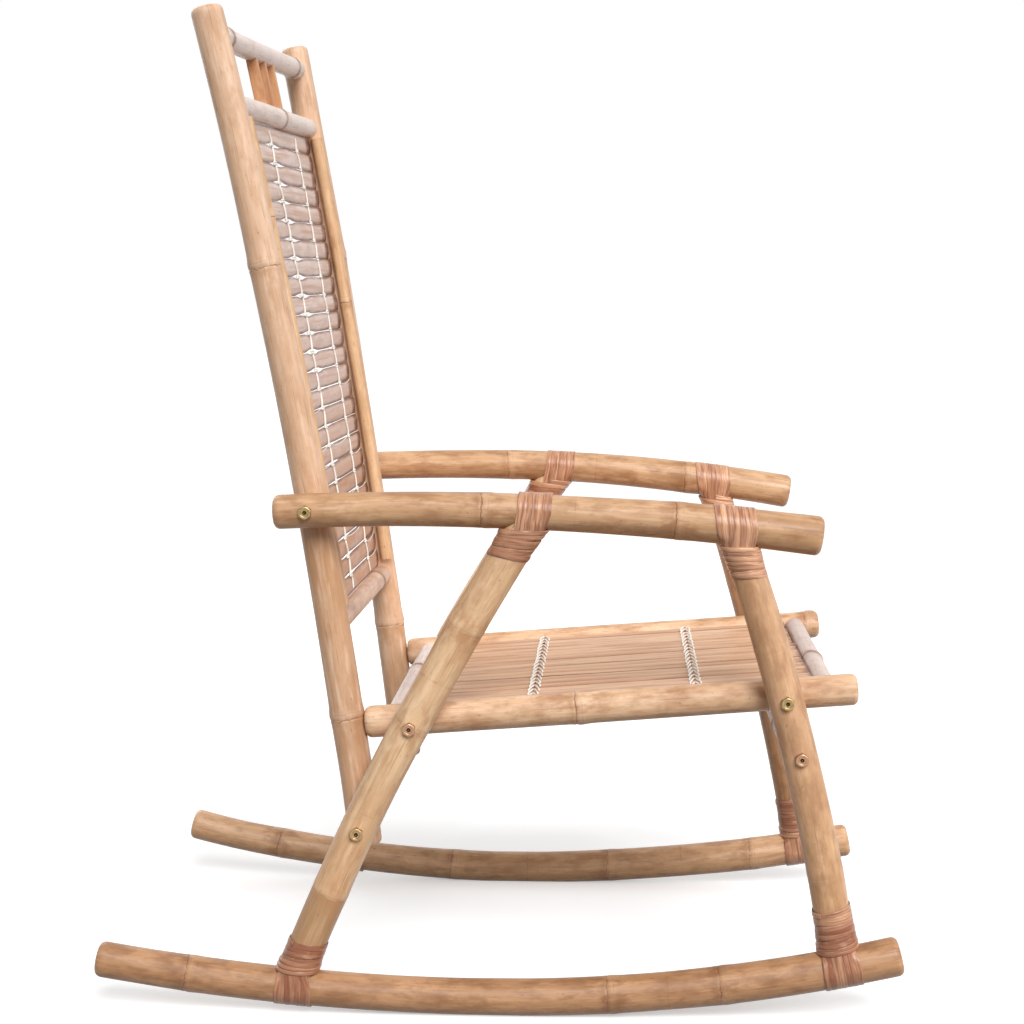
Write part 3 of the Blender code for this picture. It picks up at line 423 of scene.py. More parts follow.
def culm(
    surface, axis, radii, rings=(), seed=0, tone=0.0, sides=POLE_SIDES, rounded=True, copes=None, swell=0.6
):
    """A bamboo pole. Its ends are rounded off, or coped to the poles of two joints.

    tone is one shade for the pole, or shares of its length with their shades; swell scales its rings.
    """
    luck = random.Random(seed)
    line = np.array([axis(t) for t in np.linspace(0, 1, 200)])
    runs = lengths(line)
    length = runs[-1]
    places = [ring * length for ring in rings]
    low, high = (copes[0].margin, length - copes[1].margin) if copes else (0.0, length)
    stations = list(np.arange(low, high, STATION)) + [low, high]
    stations = [v for v in stations if all(abs(v - place) > RING_ROOM for place in places)]
    if rounded:
        for k in (0.06, 0.18, 0.36, 0.62, 1.0):
            stations += [END_ROUND * k, length - END_ROUND * k]
    for place in places:
        stations += list(place + RING_PLACES)
    s = np.array(sorted(set(round(float(v), 6) for v in stations)))
    s = s[np.concatenate(([True], np.diff(s) > 0.0001))]
    centres = np.stack([np.interp(s, runs, line[:, k]) for k in range(3)], axis=1)
    tangents = unit(np.gradient(centres, s, axis=0))
    lead = np.array((0.0, 1.0, 0.0) if abs(tangents[0][1]) < 0.9 else (1.0, 0.0, 0.0))
    across = unit(lead - tangents * (tangents @ lead)[:, None])
    out = np.cross(tangents, across)

    r = taper(radii, s / length)
    limits = [0.0, *places, length]
    sway = np.zeros_like(s)
    shares, shades = zip(*tone) if isinstance(tone, tuple) else ((0.0, 1.0), (tone, tone))
    shade = np.interp(s / length, shares, shades)
    for low_s, high_s in zip(limits, limits[1:]):
        inside = (s >= low_s) & (s <= high_s)
        share = (s[inside] - low_s) / (high_s - low_s)
        r[inside] *= 1 - WAIST * np.sin(math.pi * share) ** 2
        shade[inside] += luck.uniform(-SHADE_STEP, SHADE_STEP)
        sway[inside] = luck.uniform(-SWAY, SWAY) * np.sin(math.pi * share)
    nearest = np.full_like(s, 1.0)
    for place in places:
        r += swell * np.interp(s - place, RING_PLACES, RING_RELIEF, left=0.0, right=0.0)
        closer = np.abs(s - place) < np.abs(nearest)
        nearest[closer] = (s - place)[closer]
    if rounded:
        fade = np.clip(1 - np.minimum(s, length - s) / END_ROUND, 0, 1)
        r -= END_ROUND * (1 - np.sqrt(1 - fade**2))
    centres = centres + out * sway[:, None]

    angles, circle = round_points(sides)
    lump = LUMP * np.sin(2 * angles[None] + 9 * s[:, None] + seed)
    radial = r[:, None] + lump * np.clip(r / LUMP_R, 0, 1)[:, None]
    spokes = across[:, None] * circle[:, 0:1] + out[:, None] * circle[:, 1:2]
    grid = centres[:, None] + spokes * radial[..., None]
    grid[..., 2] = np.maximum(grid[..., 2], FLOOR_GAP)
    swing = [luck.uniform(0, 6.28) for _ in range(3)]
    wobble = 0.0009 * np.sin(angles + swing[0]) + 0.0006 * np.sin(2 * angles + swing[1])
    wobble += 0.0003 * np.sin(5 * angles + swing[2])
    ring = nearest[:, None] + wobble[None] + (1.0 if swell < LINED_SWELL else 0.0)
    if copes:
        grid = np.concatenate(([copes[0].edge(grid[0])], grid, [copes[1].edge(grid[-1])]))
        s, shade, ring = (np.concatenate((v[:1], v, v[-1:])) for v in (s, shade, ring))
    if rounded:
        caps = []
        for row, inward in ((0, 1), (-1, -1)):
            for share, depth in END_RINGS:
                middle = centres[row] + tangents[row] * inward * depth
                caps.append(middle + spokes[row] * (radial[row] * share)[:, None])
        extra = len(END_RINGS)
        plain = np.ones((extra, sides))
        grid = np.concatenate((caps[:extra][::-1], grid, caps[extra:]))
        s = np.concatenate((s[0] - END_GRAIN[::-1], s, s[-1] + END_GRAIN))
        # The ends darken inwards: painted shade of the hollow
        shade = np.concatenate((END_SHADES[::-1], shade, END_SHADES))
        ring = np.concatenate((plain, ring, plain))
    around = max(radii) * circle
    surface.add(grid, grain_grid(around[:, 0], around[:, 1], s + 3.7 * seed), ring, shade[:, None])


class Joint:
    """Where the end of a leg meets an arm or rocker, with the frame its lashing is laid in."""

    def __init__(self, side, leg, key):
        self.side = side
        self.axis = leg_x[side][leg]
        end = 1 if key == "arm" else 0
        z_of_x = lying_z[side][key]
        self.x, self.z = crossing(self.axis, z_of_x, LEG_HEIGHTS[2 * end])
        self.beyond = toward(self.axis, self.z) * (2 * end - 1)
        self.sideways = Vector((self.beyond.z, 0.0, -self.beyond.x))
        self.leg_r = LEG_RADII[leg][end]
        self.pole_r = arm_radius(side, self.x) if end else rocker_radius(self.x)
        run = Vector((2 * SMALL, 0.0, z_of_x(self.x + SMALL) - z_of_x(self.x - SMALL)))
        self.slant = run.dot(self.beyond) / run.dot(self.sideways)
        self.stretch = math.sqrt(1 + self.slant**2)
        self.middle = Vector((self.x, side * LEG_Y, self.z))
        self.margin = self.pole_r * self.stretch + self.leg_r * abs(self.slant) - LEG_EAR + COPE_ROOM

    def beside(self, base, v, u):
        return base + self.sideways * v + Vector((0.0, self.side * u, 0.0))

    def beside_leg(self, v, u, w):
        """A point beside the leg's own bowed axis, w beyond the joint."""
        height = self.z + w * self.beyond.z
        return self.beside(Vector((self.axis(height), self.side * LEG_Y, height)), v, u)

    def beside_joint(self, v, u, w):
        return self.beside(self.middle + self.beyond * w, v, u)

    def edge(self, ring):
        """The leg's end ring, drawn on until it meets the pole."""
        drawn = []
        for point in ring:
            away = Vector(point) - self.middle
            u, v = away.y, away.dot(self.sideways)
            room = math.sqrt(max(self.pole_r**2 - u**2, 0.0)) * self.stretch
            stop = min(v * self.slant - room - FIT, v * self.slant - LEG_EAR)
            drawn.append(Vector(point) + self.beyond * (stop - away.dot(self.beyond)))
        return np.array(drawn)


# Materials
def srgb(red, green, blue):
    """A linear colour from 8-bit screen values."""
    shares = (value / 255 for value in (red, green, blue))
    linear = [((v + 0.055) / 1.055) ** 2.4 if v > 0.04 else v / 12.92 for v in shares]
    return (*linear, 1.0)


def shader_node(tree, kind, inputs=(), **settings):
    """A node with its settings, and inputs given as values or as sockets to link."""
    node = tree.nodes.new(kind)
    for key, value in settings.items():
        setattr(node, key, value)
    for key, value in dict(inputs).items():
        if isinstance(value, bpy.types.NodeSocket):
            tree.links.new(value, node.inputs[key])
        else:
            node.inputs[key].default_value = value
    return node


class Look:
    """A material under construction. Colours are sockets or 8-bit screen values."""

    def __init__(self, name, roughness, metallic=0.0, specular=0.5):
        self.material = bpy.data.materials.new(name)
        self.material.use_nodes = True
        self.tree = self.material.node_tree
        self.shader = self.tree.nodes["Principled BSDF"]
        self.shader.inputs["Roughness"].default_value = roughness
        self.shader.inputs["Metallic"].default_value = metallic
        self.shader.inputs["Specular IOR Level"].default_value = specular
        self.grain = self.node("Attribute", attribute_name="grain").outputs["Vector"]
        self.paint = None

    def node(self, kind, inputs=(), **settings):
        return shader_node(self.tree, f"ShaderNode{kind}", inputs, **settings)

    def value(self, name):
        return self.node("Attribute", attribute_name=name).outputs["Fac"]

    def noise(self, stretch, detail=2.0, rough=0.55, place=None):
        """Noise from 0 to 1, with stretch features to the metre across and along the grain."""
        spot = self.node("VectorMath", {0: place or self.grain, 1: stretch}, operation="MULTIPLY").outputs[0]
        finish = {"Vector": spot, "Scale": 1.0, "Detail": detail, "Roughness": rough}
        return self.node("TexNoise", finish).outputs["Fac"]

    def ramp(self, value, low, high, start=0.0, end=1.0):
        limits = {"Value": value, "From Min": low, "From Max": high, "To Min": start, "To Max": end}
        return self.node("MapRange", limits).outputs["Result"]

    def maths(self, operation, a, b=0.0):
        return self.node("Math", {0: a, 1: b}, operation=operation).outputs[0]

    def away(self, value, place=0.0):
        """Distance of a value from a place."""
        return self.maths("ABSOLUTE", self.maths("SUBTRACT", value, place) if place else value)

    def mix(self, factor, first, second):
        first, second = (srgb(*c) if isinstance(c, tuple) else c for c in (first, second))
        return self.node("Mix", {0: factor, 6: first, 7: second}, data_type="RGBA").outputs[2]

    def cover(self, factor, colour):
        """Lays a colour over the paint."""
        self.paint = self.mix(factor, self.paint, colour)

    def layer(self, value, low, high, share, colour):
        """Lays a colour over the paint as a value goes from low to high, up to a share."""
        self.cover(self.ramp(value, low, high, 0.0, share), colour)

    def link(self, key, socket):
        self.tree.links.new(socket, self.shader.inputs[key])

    def bump(self, height, strength, distance):
        relief = {"Height": height, "Strength": strength, "Distance": distance}
        self.link("Normal", self.node("Bump", relief).outputs[0])

    def finish(self):
        self.link("Base Color", self.paint)
        return self.material


RING_BROWN = (112, 66, 44)
TWIN_GAP = 0.0068


def bamboo(
    name, cool, warm, deep, stain, roughness=0.42, mottle=0.7, tint=None,
    line_width=0.0009, line_depth=0.8, whole=0.25, jag=0.0009, twin=0.25,
):
    """Bamboo skin: clouds, blotches and fibre streaks, with brown lines at the rings.

    whole is the share of a line's depth that its breaks leave, jag how far it strays, twin the
    strength of a finer line beside it; tint is a colour that lies over the others, with the tones
    where it starts and is full and its share there.
    """
    look = Look(name, roughness)
    tone = look.value("tone")
    fibre = look.noise((1100, 1100, 10), 3.0, 0.6)
    streak = look.noise((240, 240, 6), 3.0)
    pale = look.noise((140, 140, 13), 2.0)
    scratch = look.noise((520, 520, 16), 2.0)
    fleck = look.noise((170, 170, 62), 3.0, 0.6)
    patch = look.noise((66, 66, 30), 4.0, 0.62)
    blotch = look.noise((34, 34, 15), 3.0, 0.6)
    cloud = look.noise((16, 16, 7), 2.0)
    speck = look.noise((300, 300, 150), 1.0)
    look.paint = look.mix(look.ramp(tone, -1.0, 1.0), cool, warm)
    look.layer(cloud, 0.38, 0.62, 0.60, deep)
    look.layer(streak, 0.42, 0.66, 0.40, deep)
    look.layer(pale, 0.50, 0.66, 0.65, warm)
    look.layer(blotch, 0.48, 0.66, mottle * 0.6, stain)
    look.layer(patch, 0.48, 0.66, mottle * 0.8, stain)
    look.layer(fleck, 0.50, 0.68, mottle * 0.5, stain)
    look.layer(fibre, 0.46, 0.72, 0.30, stain)
    look.layer(scratch, 0.62, 0.72, 0.35, RING_BROWN)
    look.layer(speck, 0.72, 0.78, 0.40, RING_BROWN)
    if tint:
        over, start, full, share = tint
        look.layer(tone, start, full, share, over)
    stray = look.ramp(look.noise((230, 230, 110), 2.0), 0.3, 0.7, -jag, jag)
    ring = look.maths("ADD", look.value("ring"), stray)
    broken = look.ramp(look.noise((90, 90, 40), 2.0), 0.36, 0.56, whole * line_depth, line_depth)
    around = look.ramp(look.away(ring), 0.004, 0.030, 0.6, 0.0)
    look.cover(look.maths("MULTIPLY", around, look.ramp(patch, 0.46, 0.58)), stain)
    look.cover(look.ramp(look.away(ring, 0.005), 0.001, 0.006, 0.22, 0.0), warm)
    look.cover(look.ramp(look.away(ring, -0.004), 0.0, 0.008, 0.35, 0.0), stain)
    line = look.ramp(look.away(ring), line_width * 0.2, line_width, 1.0, 0.0)
    look.cover(look.maths("MULTIPLY", line, broken), RING_BROWN)
    if twin:
        fine = look.ramp(look.away(ring, TWIN_GAP), 0.0002, 0.0008, twin, 0.0)
        look.cover(look.maths("MULTIPLY", fine, broken), RING_BROWN)
    look.link("Roughness", look.ramp(streak, 0.25, 0.75, roughness - 0.08, roughness + 0.12))
    look.bump(look.maths("ADD", fibre, look.maths("MULTIPLY", patch, 0.8)), 0.3, 0.0005)
    return look.finish()


def cane(name):
    """Split cane: satin skin with fine lengthwise fibres, each strip its own shade, pale patches partly of
    painted sheen, and painted shade at the strips' edges.
    """
    look = Look(name, 0.32)
    fibre = look.noise((1900, 1900, 26), 3.0, 0.6)
    streak = look.noise((700, 700, 9), 2.0)
    patch = look.noise((90, 90, 40), 2.0)
    wet = look.noise((330, 330, 24), 3.0)
    look.paint = look.mix(look.ramp(look.value("tone"), -1.0, 1.0), (150, 92, 62), (248, 194, 154))
    look.layer(streak, 0.40, 0.68, 0.60, (160, 100, 70))
    look.layer(fibre, 0.48, 0.74, 0.60, (122, 70, 46))
    # Pale patches: partly paler cane, partly painted sheen
    look.layer(patch, 0.56, 0.76, 0.50, (244, 196, 158))
    look.layer(wet, 0.50, 0.62, 0.70, (130, 74, 46))
    # Painted shade: dark lines along each strip's edges, where strips meet
    look.cover(look.ramp(look.away(look.value("ring")), 0.0, 0.0008, 0.60, 0.0), (98, 54, 36))
    look.bump(look.maths("ADD", fibre, streak), 0.4, 0.0004)
    return look.finish()


def cord_look(name, light, dark):
    """Twisted cord: slanting strands."""
    look = Look(name, 0.75, specular=0.3)
    twist = {"Vector": look.grain, "Scale": 190.0, "Distortion": 0.6, "Detail": 1.0}
    strand = look.node("TexWave", twist, bands_direction="DIAGONAL").outputs["Fac"]
    look.paint = look.mix(look.ramp(strand, 0.0, 0.7, 0.2, 1.0), dark, light)
    look.layer(look.noise((900, 900, 700), 2.0), 0.3, 0.8, 0.25, dark)
    look.bump(strand, 0.5, 0.0003)
    return look.finish()


def zinc(name):
    """Yellow-passivated steel: brassy, a little cloudy and scuffed."""
    look = Look(name, 0.3, 1.0)
    place = look.node("NewGeometry").outputs["Position"]
    cloud = look.noise((420, 420, 420), 2.0, place=place)
    scuff = look.noise((1500, 2600, 1500), 3.0, place=place)
    look.paint = look.mix(look.ramp(cloud, 0.35, 0.65), (178, 150, 102), (146, 126, 92))
    look.layer(look.value("tone"), 0.0, 1.0, 0.7, (180, 134, 114))
    look.layer(scuff, 0.58, 0.72, 0.6, (116, 92, 60))
    # Painted shade: near black where ring is low, in a bolt's drive recess and round its foot
    look.cover(look.ramp(look.value("ring"), 0.0, 0.2, 0.9, 0.0), (40, 28, 18))
    look.link("Roughness", look.ramp(scuff, 0.3, 0.7, 0.22, 0.46))
    return look.finish()


BAND = {"line_width": 0.0065, "whole": 0.75, "twin": 0.0}  # rings of the cross rails: a wide brown band, the sheath scar, widened to paint the shade of the ring's relief too
# Dark lines along the slats' edges: painted shade of the gaps between slats, on the seat partly the darker
# split edges too
SLAT_EDGE_AND_GAP_SHADE = {"line_width": 0.0016, "whole": 0.6, "twin": 0.0}
post_look = bamboo(
    "post_bamboo", (180, 130, 86), (244, 210, 182), (220, 176, 138), (190, 142, 102), mottle=0.5
)
tan_look = bamboo("tan_bamboo", (204, 160, 114), (228, 188, 150), (194, 148, 106), (158, 110, 72))
leg_look = bamboo(
    "leg_bamboo", (178, 132, 94), (248, 214, 173), (218, 172, 128), (188, 138, 97), mottle=0.5,
    tint=((158, 122, 84), -0.35, -0.9, 0.5), line_depth=0.35,
)
brown_look = bamboo(
    "brown_bamboo", (212, 166, 122), (238, 194, 154), (202, 156, 114), (162, 114, 78), mottle=0.55
)
rocker_look = bamboo("rocker_bamboo", (186, 139, 98), (210, 163, 123), (172, 126, 86), (138, 94, 60))
rail_look = bamboo("seat_bamboo", (230, 190, 150), (250, 216, 182), (216, 172, 132), (174, 124, 86))
pale_look = bamboo(
    "pale_bamboo", (244, 232, 227), (248, 228, 216), (233, 218, 212), (206, 174, 156), mottle=0.35, **BAND
)
worn_look = bamboo(
    "worn_bamboo", (220, 188, 168), (228, 190, 162), (206, 170, 148), (184, 144, 118), **BAND
)
dull_look = bamboo(
    "dull_bamboo", (228, 210, 202), (232, 208, 194), (214, 194, 185), (190, 160, 144), mottle=0.4, **BAND
)
slat_look = bamboo(
    "back_slats", (250, 237, 232), (194, 142, 104), (236, 218, 212), (208, 180, 169), 0.5, mottle=0.12,
    tint=((190, 138, 99), 0.0, 0.75, 0.9), line_depth=0.9, jag=0.0002, **SLAT_EDGE_AND_GAP_SHADE,
)
spindle_look = bamboo(
    "spindle_bamboo", (206, 144, 98), (228, 172, 126), (196, 134, 90), (160, 104, 66), 0.45, mottle=0.5
)
split_look = bamboo(
    "split_bamboo", (196, 142, 100), (238, 202, 160), (206, 160, 116), (176, 128, 88), 0.45, mottle=0.5
)
seat_look = bamboo(
    "seat_split", (213, 166, 128), (242, 203, 168), (209, 159, 122), (180, 129, 92), 0.45, mottle=0.4,
    jag=0.0001, **SLAT_EDGE_AND_GAP_SHADE,
)
cane_look = cane("cane")
cord_white = cord_look("cord", (255, 254, 250), (228, 220, 206))
zinc_look = zinc("zinc_steel")


# Poles of the two sides
def pole(node, look, *shape, piece=None, **finish):
    """A bamboo pole in place of a solid one."""
    surface = Surface(piece or f"{node}_pole")
    culm(surface, *shape, **finish)
    surface.make(look, node)


def side_poles(side, seed, rocker_skin, front_leg_skin):
    name = SIDE_NAME[side]
    half = ROCKER_LENGTH / 2
    rocker = lying(lying_z[side]["rocker"], side * LEG_Y, -half, half)
    shades = ROCKER_SHADES[side]
    pole(f"{name}_rocker", rocker_skin, rocker, ROCKER_RADII, ROCKER_RINGS[side], seed + 1, shades)
    arm = lying(lying_z[side]["arm"], side * LEG_Y, ARM_REAR_X, ARM_FRONT_X[side])
    pole(f"{name}_arm", tan_look, arm, ARM_RADII, ARM_RINGS[side], seed + 2)
    for number, leg in enumerate(LEG_X[side]):
        ends = [Joint(side, leg, key) for key in ("rocker", "arm")]
        low, high = (end.z - LEG_EAR * end.beyond.z for end in ends)
        axis = upright(leg_x[side][leg], side * LEG_Y, low, high)
        skin = leg_look if leg == "rear" else front_leg_skin
        shape = (axis, LEG_RADII[leg], LEG_RINGS[leg], seed + 3 + number, LEG_SHADES[leg])
        pole(f"{name}_{leg}_leg", skin, *shape, rounded=False, copes=ends, swell=LEG_SWELL[leg])
    post = upright(post_x[side], side * POST_Y, POST_FOOT_Z, POST_TOP_Z[side])
    shape = (post, POST_RADII, POST_RINGS[side], seed + 5, POST_SHADES[side])
    pole(f"{name}_back_post", post_look, *shape, piece=f"{name}_post_pole", swell=POST_SWELL)
    x, z = crossing(post_x[side], seat_z, SEAT_AXIS_Z)
    rear = x + (POST_RADII[0] + FIT) / toward(post_x[side], z).z
    rail = lying(seat_z, side * POST_Y, rear, SEAT_FRONT_X)
    shape = (rail, (SEAT_RAIL_R, SEAT_RAIL_R), SEAT_RAIL_RINGS[side], seed + 6, SEAT_RAIL_SHADE)
    pole(f"{name}_seat_rail", rail_look, *shape, swell=SEAT_RAIL_SWELL)


side_poles(RIGHT, 10, rocker_look, brown_look)
# The left front leg takes the darker rocker skin as painted shade
side_poles(LEFT, 30, brown_look, rocker_look)

# Cross rails
top_rail_z = {side: POST_TOP_Z[side] - TOP_RAIL_DROP for side in SIDE_NAME}
upper_rail_z = {side: top_rail_z[side] - CREST_HEIGHT for side in SIDE_NAME}
lower_rail_z = {side: LOWER_RAIL_Z for side in SIDE_NAME}
stretcher_reach = LEG_Y - LEG_EAR - STRETCHER_SHORT
stretcher_ends = [
    Vector((leg_x[side]["front"](STRETCHER_Z), side * stretcher_reach, STRETCHER_Z)) for side in SIDE_NAME
]
for node, look, (start, end), radius, rings, seed in (
    ("back_top_rail", pale_look, post_ends(top_rail_z), CROSS_RAIL_R, (0.105, 0.900), 51),
    ("back_upper_rail", pale_look, post_ends(upper_rail_z), CROSS_RAIL_R, (0.560,), 52),
    ("back_lower_rail", worn_look, post_ends(lower_rail_z), CROSS_RAIL_R, (0.820,), 53),
    ("seat_rear_rail", pale_look, seat_ends(SEAT_REAR_RAIL_X), CROSS_RAIL_R, (0.620,), 54),
    ("seat_front_rail", dull_look, seat_ends(SEAT_FRONT_RAIL_X), CROSS_RAIL_R, (0.400,), 55),
    ("front_stretcher", brown_look, stretcher_ends, STRETCHER_R, (0.300, 0.740), 56),
):
    stop = (end - start).normalized() * SOCKET_STOP
    shape = (straight(start + stop, end - stop), (radius, radius), rings, seed)
    pole(node, look, *shape, sides=RAIL_SIDES, rounded=False, swell=CROSS_RAIL_SWELL)


# Back panel
def panel_frame(heights):
    """Right post's axis point, the vector to the left one, and the unit vectors up and forward."""
    right, left = post_ends(heights)
    across = left - right
    up = sum((toward(post_x[side], heights[side]) for side in SIDE_NAME), Vector()).normalized()
    forward = across.cross(up).normalized()
    return right, across, forward.cross(across).normalized(), forward


def panel_point(heights, y, forward_set):
    right, across, _, forward = panel_frame(heights)
    share = (y + POST_Y) / (2 * POST_Y)
    return right + across * share + forward * forward_set


def split_section(depth, width, steps=9, crown_drop=0.45):
    """Section of split bamboo as (across, out) points: flat behind, crowned in front, eased corners."""
    half = width / 2
    share = np.linspace(-1, 1, steps)
    crown = depth * (1 - crown_drop * np.abs(share) ** 3)
    front = np.stack([share * half, crown - depth / 2], axis=1)
    rim, foot = (half * 0.97, -depth * 0.42), (half * 0.9, -depth / 2)
    back = np.array([rim, foot, (-foot[0], foot[1]), (-rim[0], rim[1])])
    return np.concatenate((front, back))


def split_grain(section, along, seed):
    """Grain places for a split piece, each at its own spot in the noise."""
    return grain_grid(section[:, 0] + 1.7 * seed, section[:, 1], along + 2.3 * seed)


panel_low = LOWER_RAIL_Z + CROSS_RAIL_R
slat_rise = {side: (upper_rail_z[side] - CROSS_RAIL_R - panel_low) / BACK_SLAT_COUNT for side in SIDE_NAME}


def slat_level(number):
    """Heights on the two posts, counted in slats from the foot of the panel."""
    return {side: panel_low + number * slat_rise[side] for side in SIDE_NAME}


slat_end = POST_Y - POST_RADII[0] - RING_HEIGHT - FIT
lens = [
    chance.uniform(0.0018, 0.0028) * (LOW_LENS if gap < BACK_SLAT_COUNT * RUN_SHARE else 1.0)
    for gap in range(BACK_SLAT_COUNT + 1)
]
lens[0] = lens[-1] = 0.0
slat_set = BACK_SLAT_SET + (BACK_SLAT_THICK - SLAT_SKIN) / 2 - SLAT_BACK
back = Surface("back_slats")
for number in range(BACK_SLAT_COUNT):
    level = slat_level(number + 0.5)
    up, forward = (np.array(axis) for axis in panel_frame(level)[2:])
    width = min(slat_rise.values()) / up[2] - SLAT_GAP + chance.uniform(-0.0005, 0.0)
    section = split_section(SLAT_SKIN, width)
    reach = [slat_end - chance.uniform(0, 0.003) for _ in range(2)]
    ys = np.linspace(-reach[0], reach[1], SLAT_STEPS)
    opening = sum(
        (1.0 if y == MAIN_LACING_Y else SIDE_LENS) * np.exp(-(((ys - y - LENS_SIDE) / LENS_REACH) ** 4))
        for y in LACING_Y
    )
    share = section[:, 0] / width + 0.5
    rows = np.tile(section, (SLAT_STEPS, 1, 1))
    rows[..., 0] += opening[:, None] * (lens[number] * (1 - share) - lens[number + 1] * share)[None]
    lean = chance.uniform(-0.0004, 0.0004)
    warp = chance.uniform(-0.0005, 0.0005)
    roll = math.radians(4 + chance.uniform(-3.5, 3.5))
    centres = np.array([panel_point(level, y, slat_set) for y in ys])
    place = (ys / slat_end)[:, None]
    centres += up * (lean * place) + forward * (warp * (1 - place**2))
    high = up * math.cos(roll) + forward * math.sin(roll)
    front = forward * math.cos(roll) - up * math.sin(roll)
    tone = chance.uniform(-0.9, -0.3) + 3.0 * max(0.0, 0.60 - number / BACK_SLAT_COUNT)
    # Painted shade of the gaps: dark lines along the slat's edges
    edge = np.minimum(share, 1 - share) * width * 0.45
    # Painted shadow: each slat's ends darken beside the edge strips, out to a random reach
    strip_shadow = slat_end - STRIP_LAP - chance.uniform(0.0, 0.012) - np.abs(ys)
    line = np.minimum(edge[None], 0.1 * np.maximum(strip_shadow, 0.0)[:, None])
    back.add(swept(centres, high, front, rows), split_grain(section, 0.4 * ys, number), line, tone)
back.make(slat_look, "back_slat_panel")

# Edge strips on the posts, laid over the slats' ends
for side in SIDE_NAME:
    levels = [slat_level(n) for n in np.linspace(*STRIP_ENDS, 60)]
    along = np.array([level[side] for level in levels])
    centres = []
    for level in levels:
        post_r = taper(POST_RADII, (level[side] - POST_FOOT_Z) / (POST_TOP_Z[side] - POST_FOOT_Z))
        inset = math.sqrt(post_r**2 - EDGE_STRIP_SET**2) + EDGE_STRIP_R
        centres.append(panel_point(level, side * (POST_Y - inset), EDGE_STRIP_SET))
    frames = [panel_frame(level) for level in levels]
    ups, fronts = (np.array([f[k] for f in frames]) for k in (2, 3))
    ring = along - panel_low - STRIP_RING[side] * (along[-1] - panel_low)
    swell = 1 + 0.05 * np.exp(-((ring / 0.006) ** 2))
    section = round_points(16)[1] * (EDGE_STRIP_R, EDGE_STRIP_R * 0.95)
    grid = swept(np.array(centres), np.cross(ups, fronts), fronts, section[None] * swell[:, None, None])
    strip = Surface(f"{SIDE_NAME[side]}_edge_strip")
    strip.add(grid, split_grain(section, along, 40 + side), ring[:, None], 0.8)
    strip.make(split_look, slot="split_bamboo")

# Crest spindles
for number in range(SPINDLE_COUNT):
    y = SPINDLE_MIDDLE_Y + (number - (SPINDLE_COUNT - 1) / 2) * SPINDLE_PITCH
    low, high = panel_point(upper_rail_z, y, 0.0), panel_point(top_rail_z, y, 0.0)
    along = (high - low).normalized()
    across = panel_frame(top_rail_z)[1].normalized()
    forward = across.cross(along).normalized()
    reach = (high - low).length / 2 - CROSS_RAIL_R + SPINDLE_SEAT
    places = np.linspace(-reach, reach, SPINDLE_STEPS)
    centres = np.array([(low + high) / 2 + along * place for place in places])
    section = split_section(SPINDLE_WIDTH, SPINDLE_DEPTH)
    grain = split_grain(section, places, 60 + number)
    spindle = Surface(f"crest_stick_{number + 1}")
    spindle.add(swept(centres, forward, across, section), grain, tone=0.4 * (number - 1))
    spindle.make(spindle_look, f"crest_spindle_{number + 1}")


# Cords
def smooth_line(points, per_span=6):
    """A rounded line through points."""
    points = np.array(points)
    padded = np.concatenate((2 * points[:1] - points[1:2], points, 2 * points[-1:] - points[-2:-1]))
    line = []
    for a, b, c, d in zip(padded, padded[1:], padded[2:], padded[3:]):
        for t in np.linspace(0, 1, per_span, endpoint=False):
            cubic = (2 * a - 5 * b + 4 * c - d) * t**2 + (3 * b - a - 3 * c + d) * t**3
            line.append(0.5 * (2 * b + (c - a) * t + cubic))
    line.append(points[-1])
    return np.array(line)


def cord(surface, points, radius, per_span=6, sides=8):
    """A round cord through points, with tapered ends."""
    line = smooth_line(points, per_span)
    tangents = unit(np.gradient(line, axis=0))
    across = unit(np.cross(tangents, np.array((0.31, 0.47, 0.83))))
    runs = lengths(line)
    ends = np.minimum(runs, runs[-1] - runs)
    r = radius * np.clip(0.35 + 0.65 * ends / radius, 0.35, 1.0)
    circle = round_points(sides)[1]
    grid = swept(line, across, np.cross(tangents, across), circle[None] * r[:, None, None])
    around = 2 * radius * circle
    surface.add(grid, grain_grid(around[:, 0], around[:, 1], runs + chance.uniform(0, 1)))


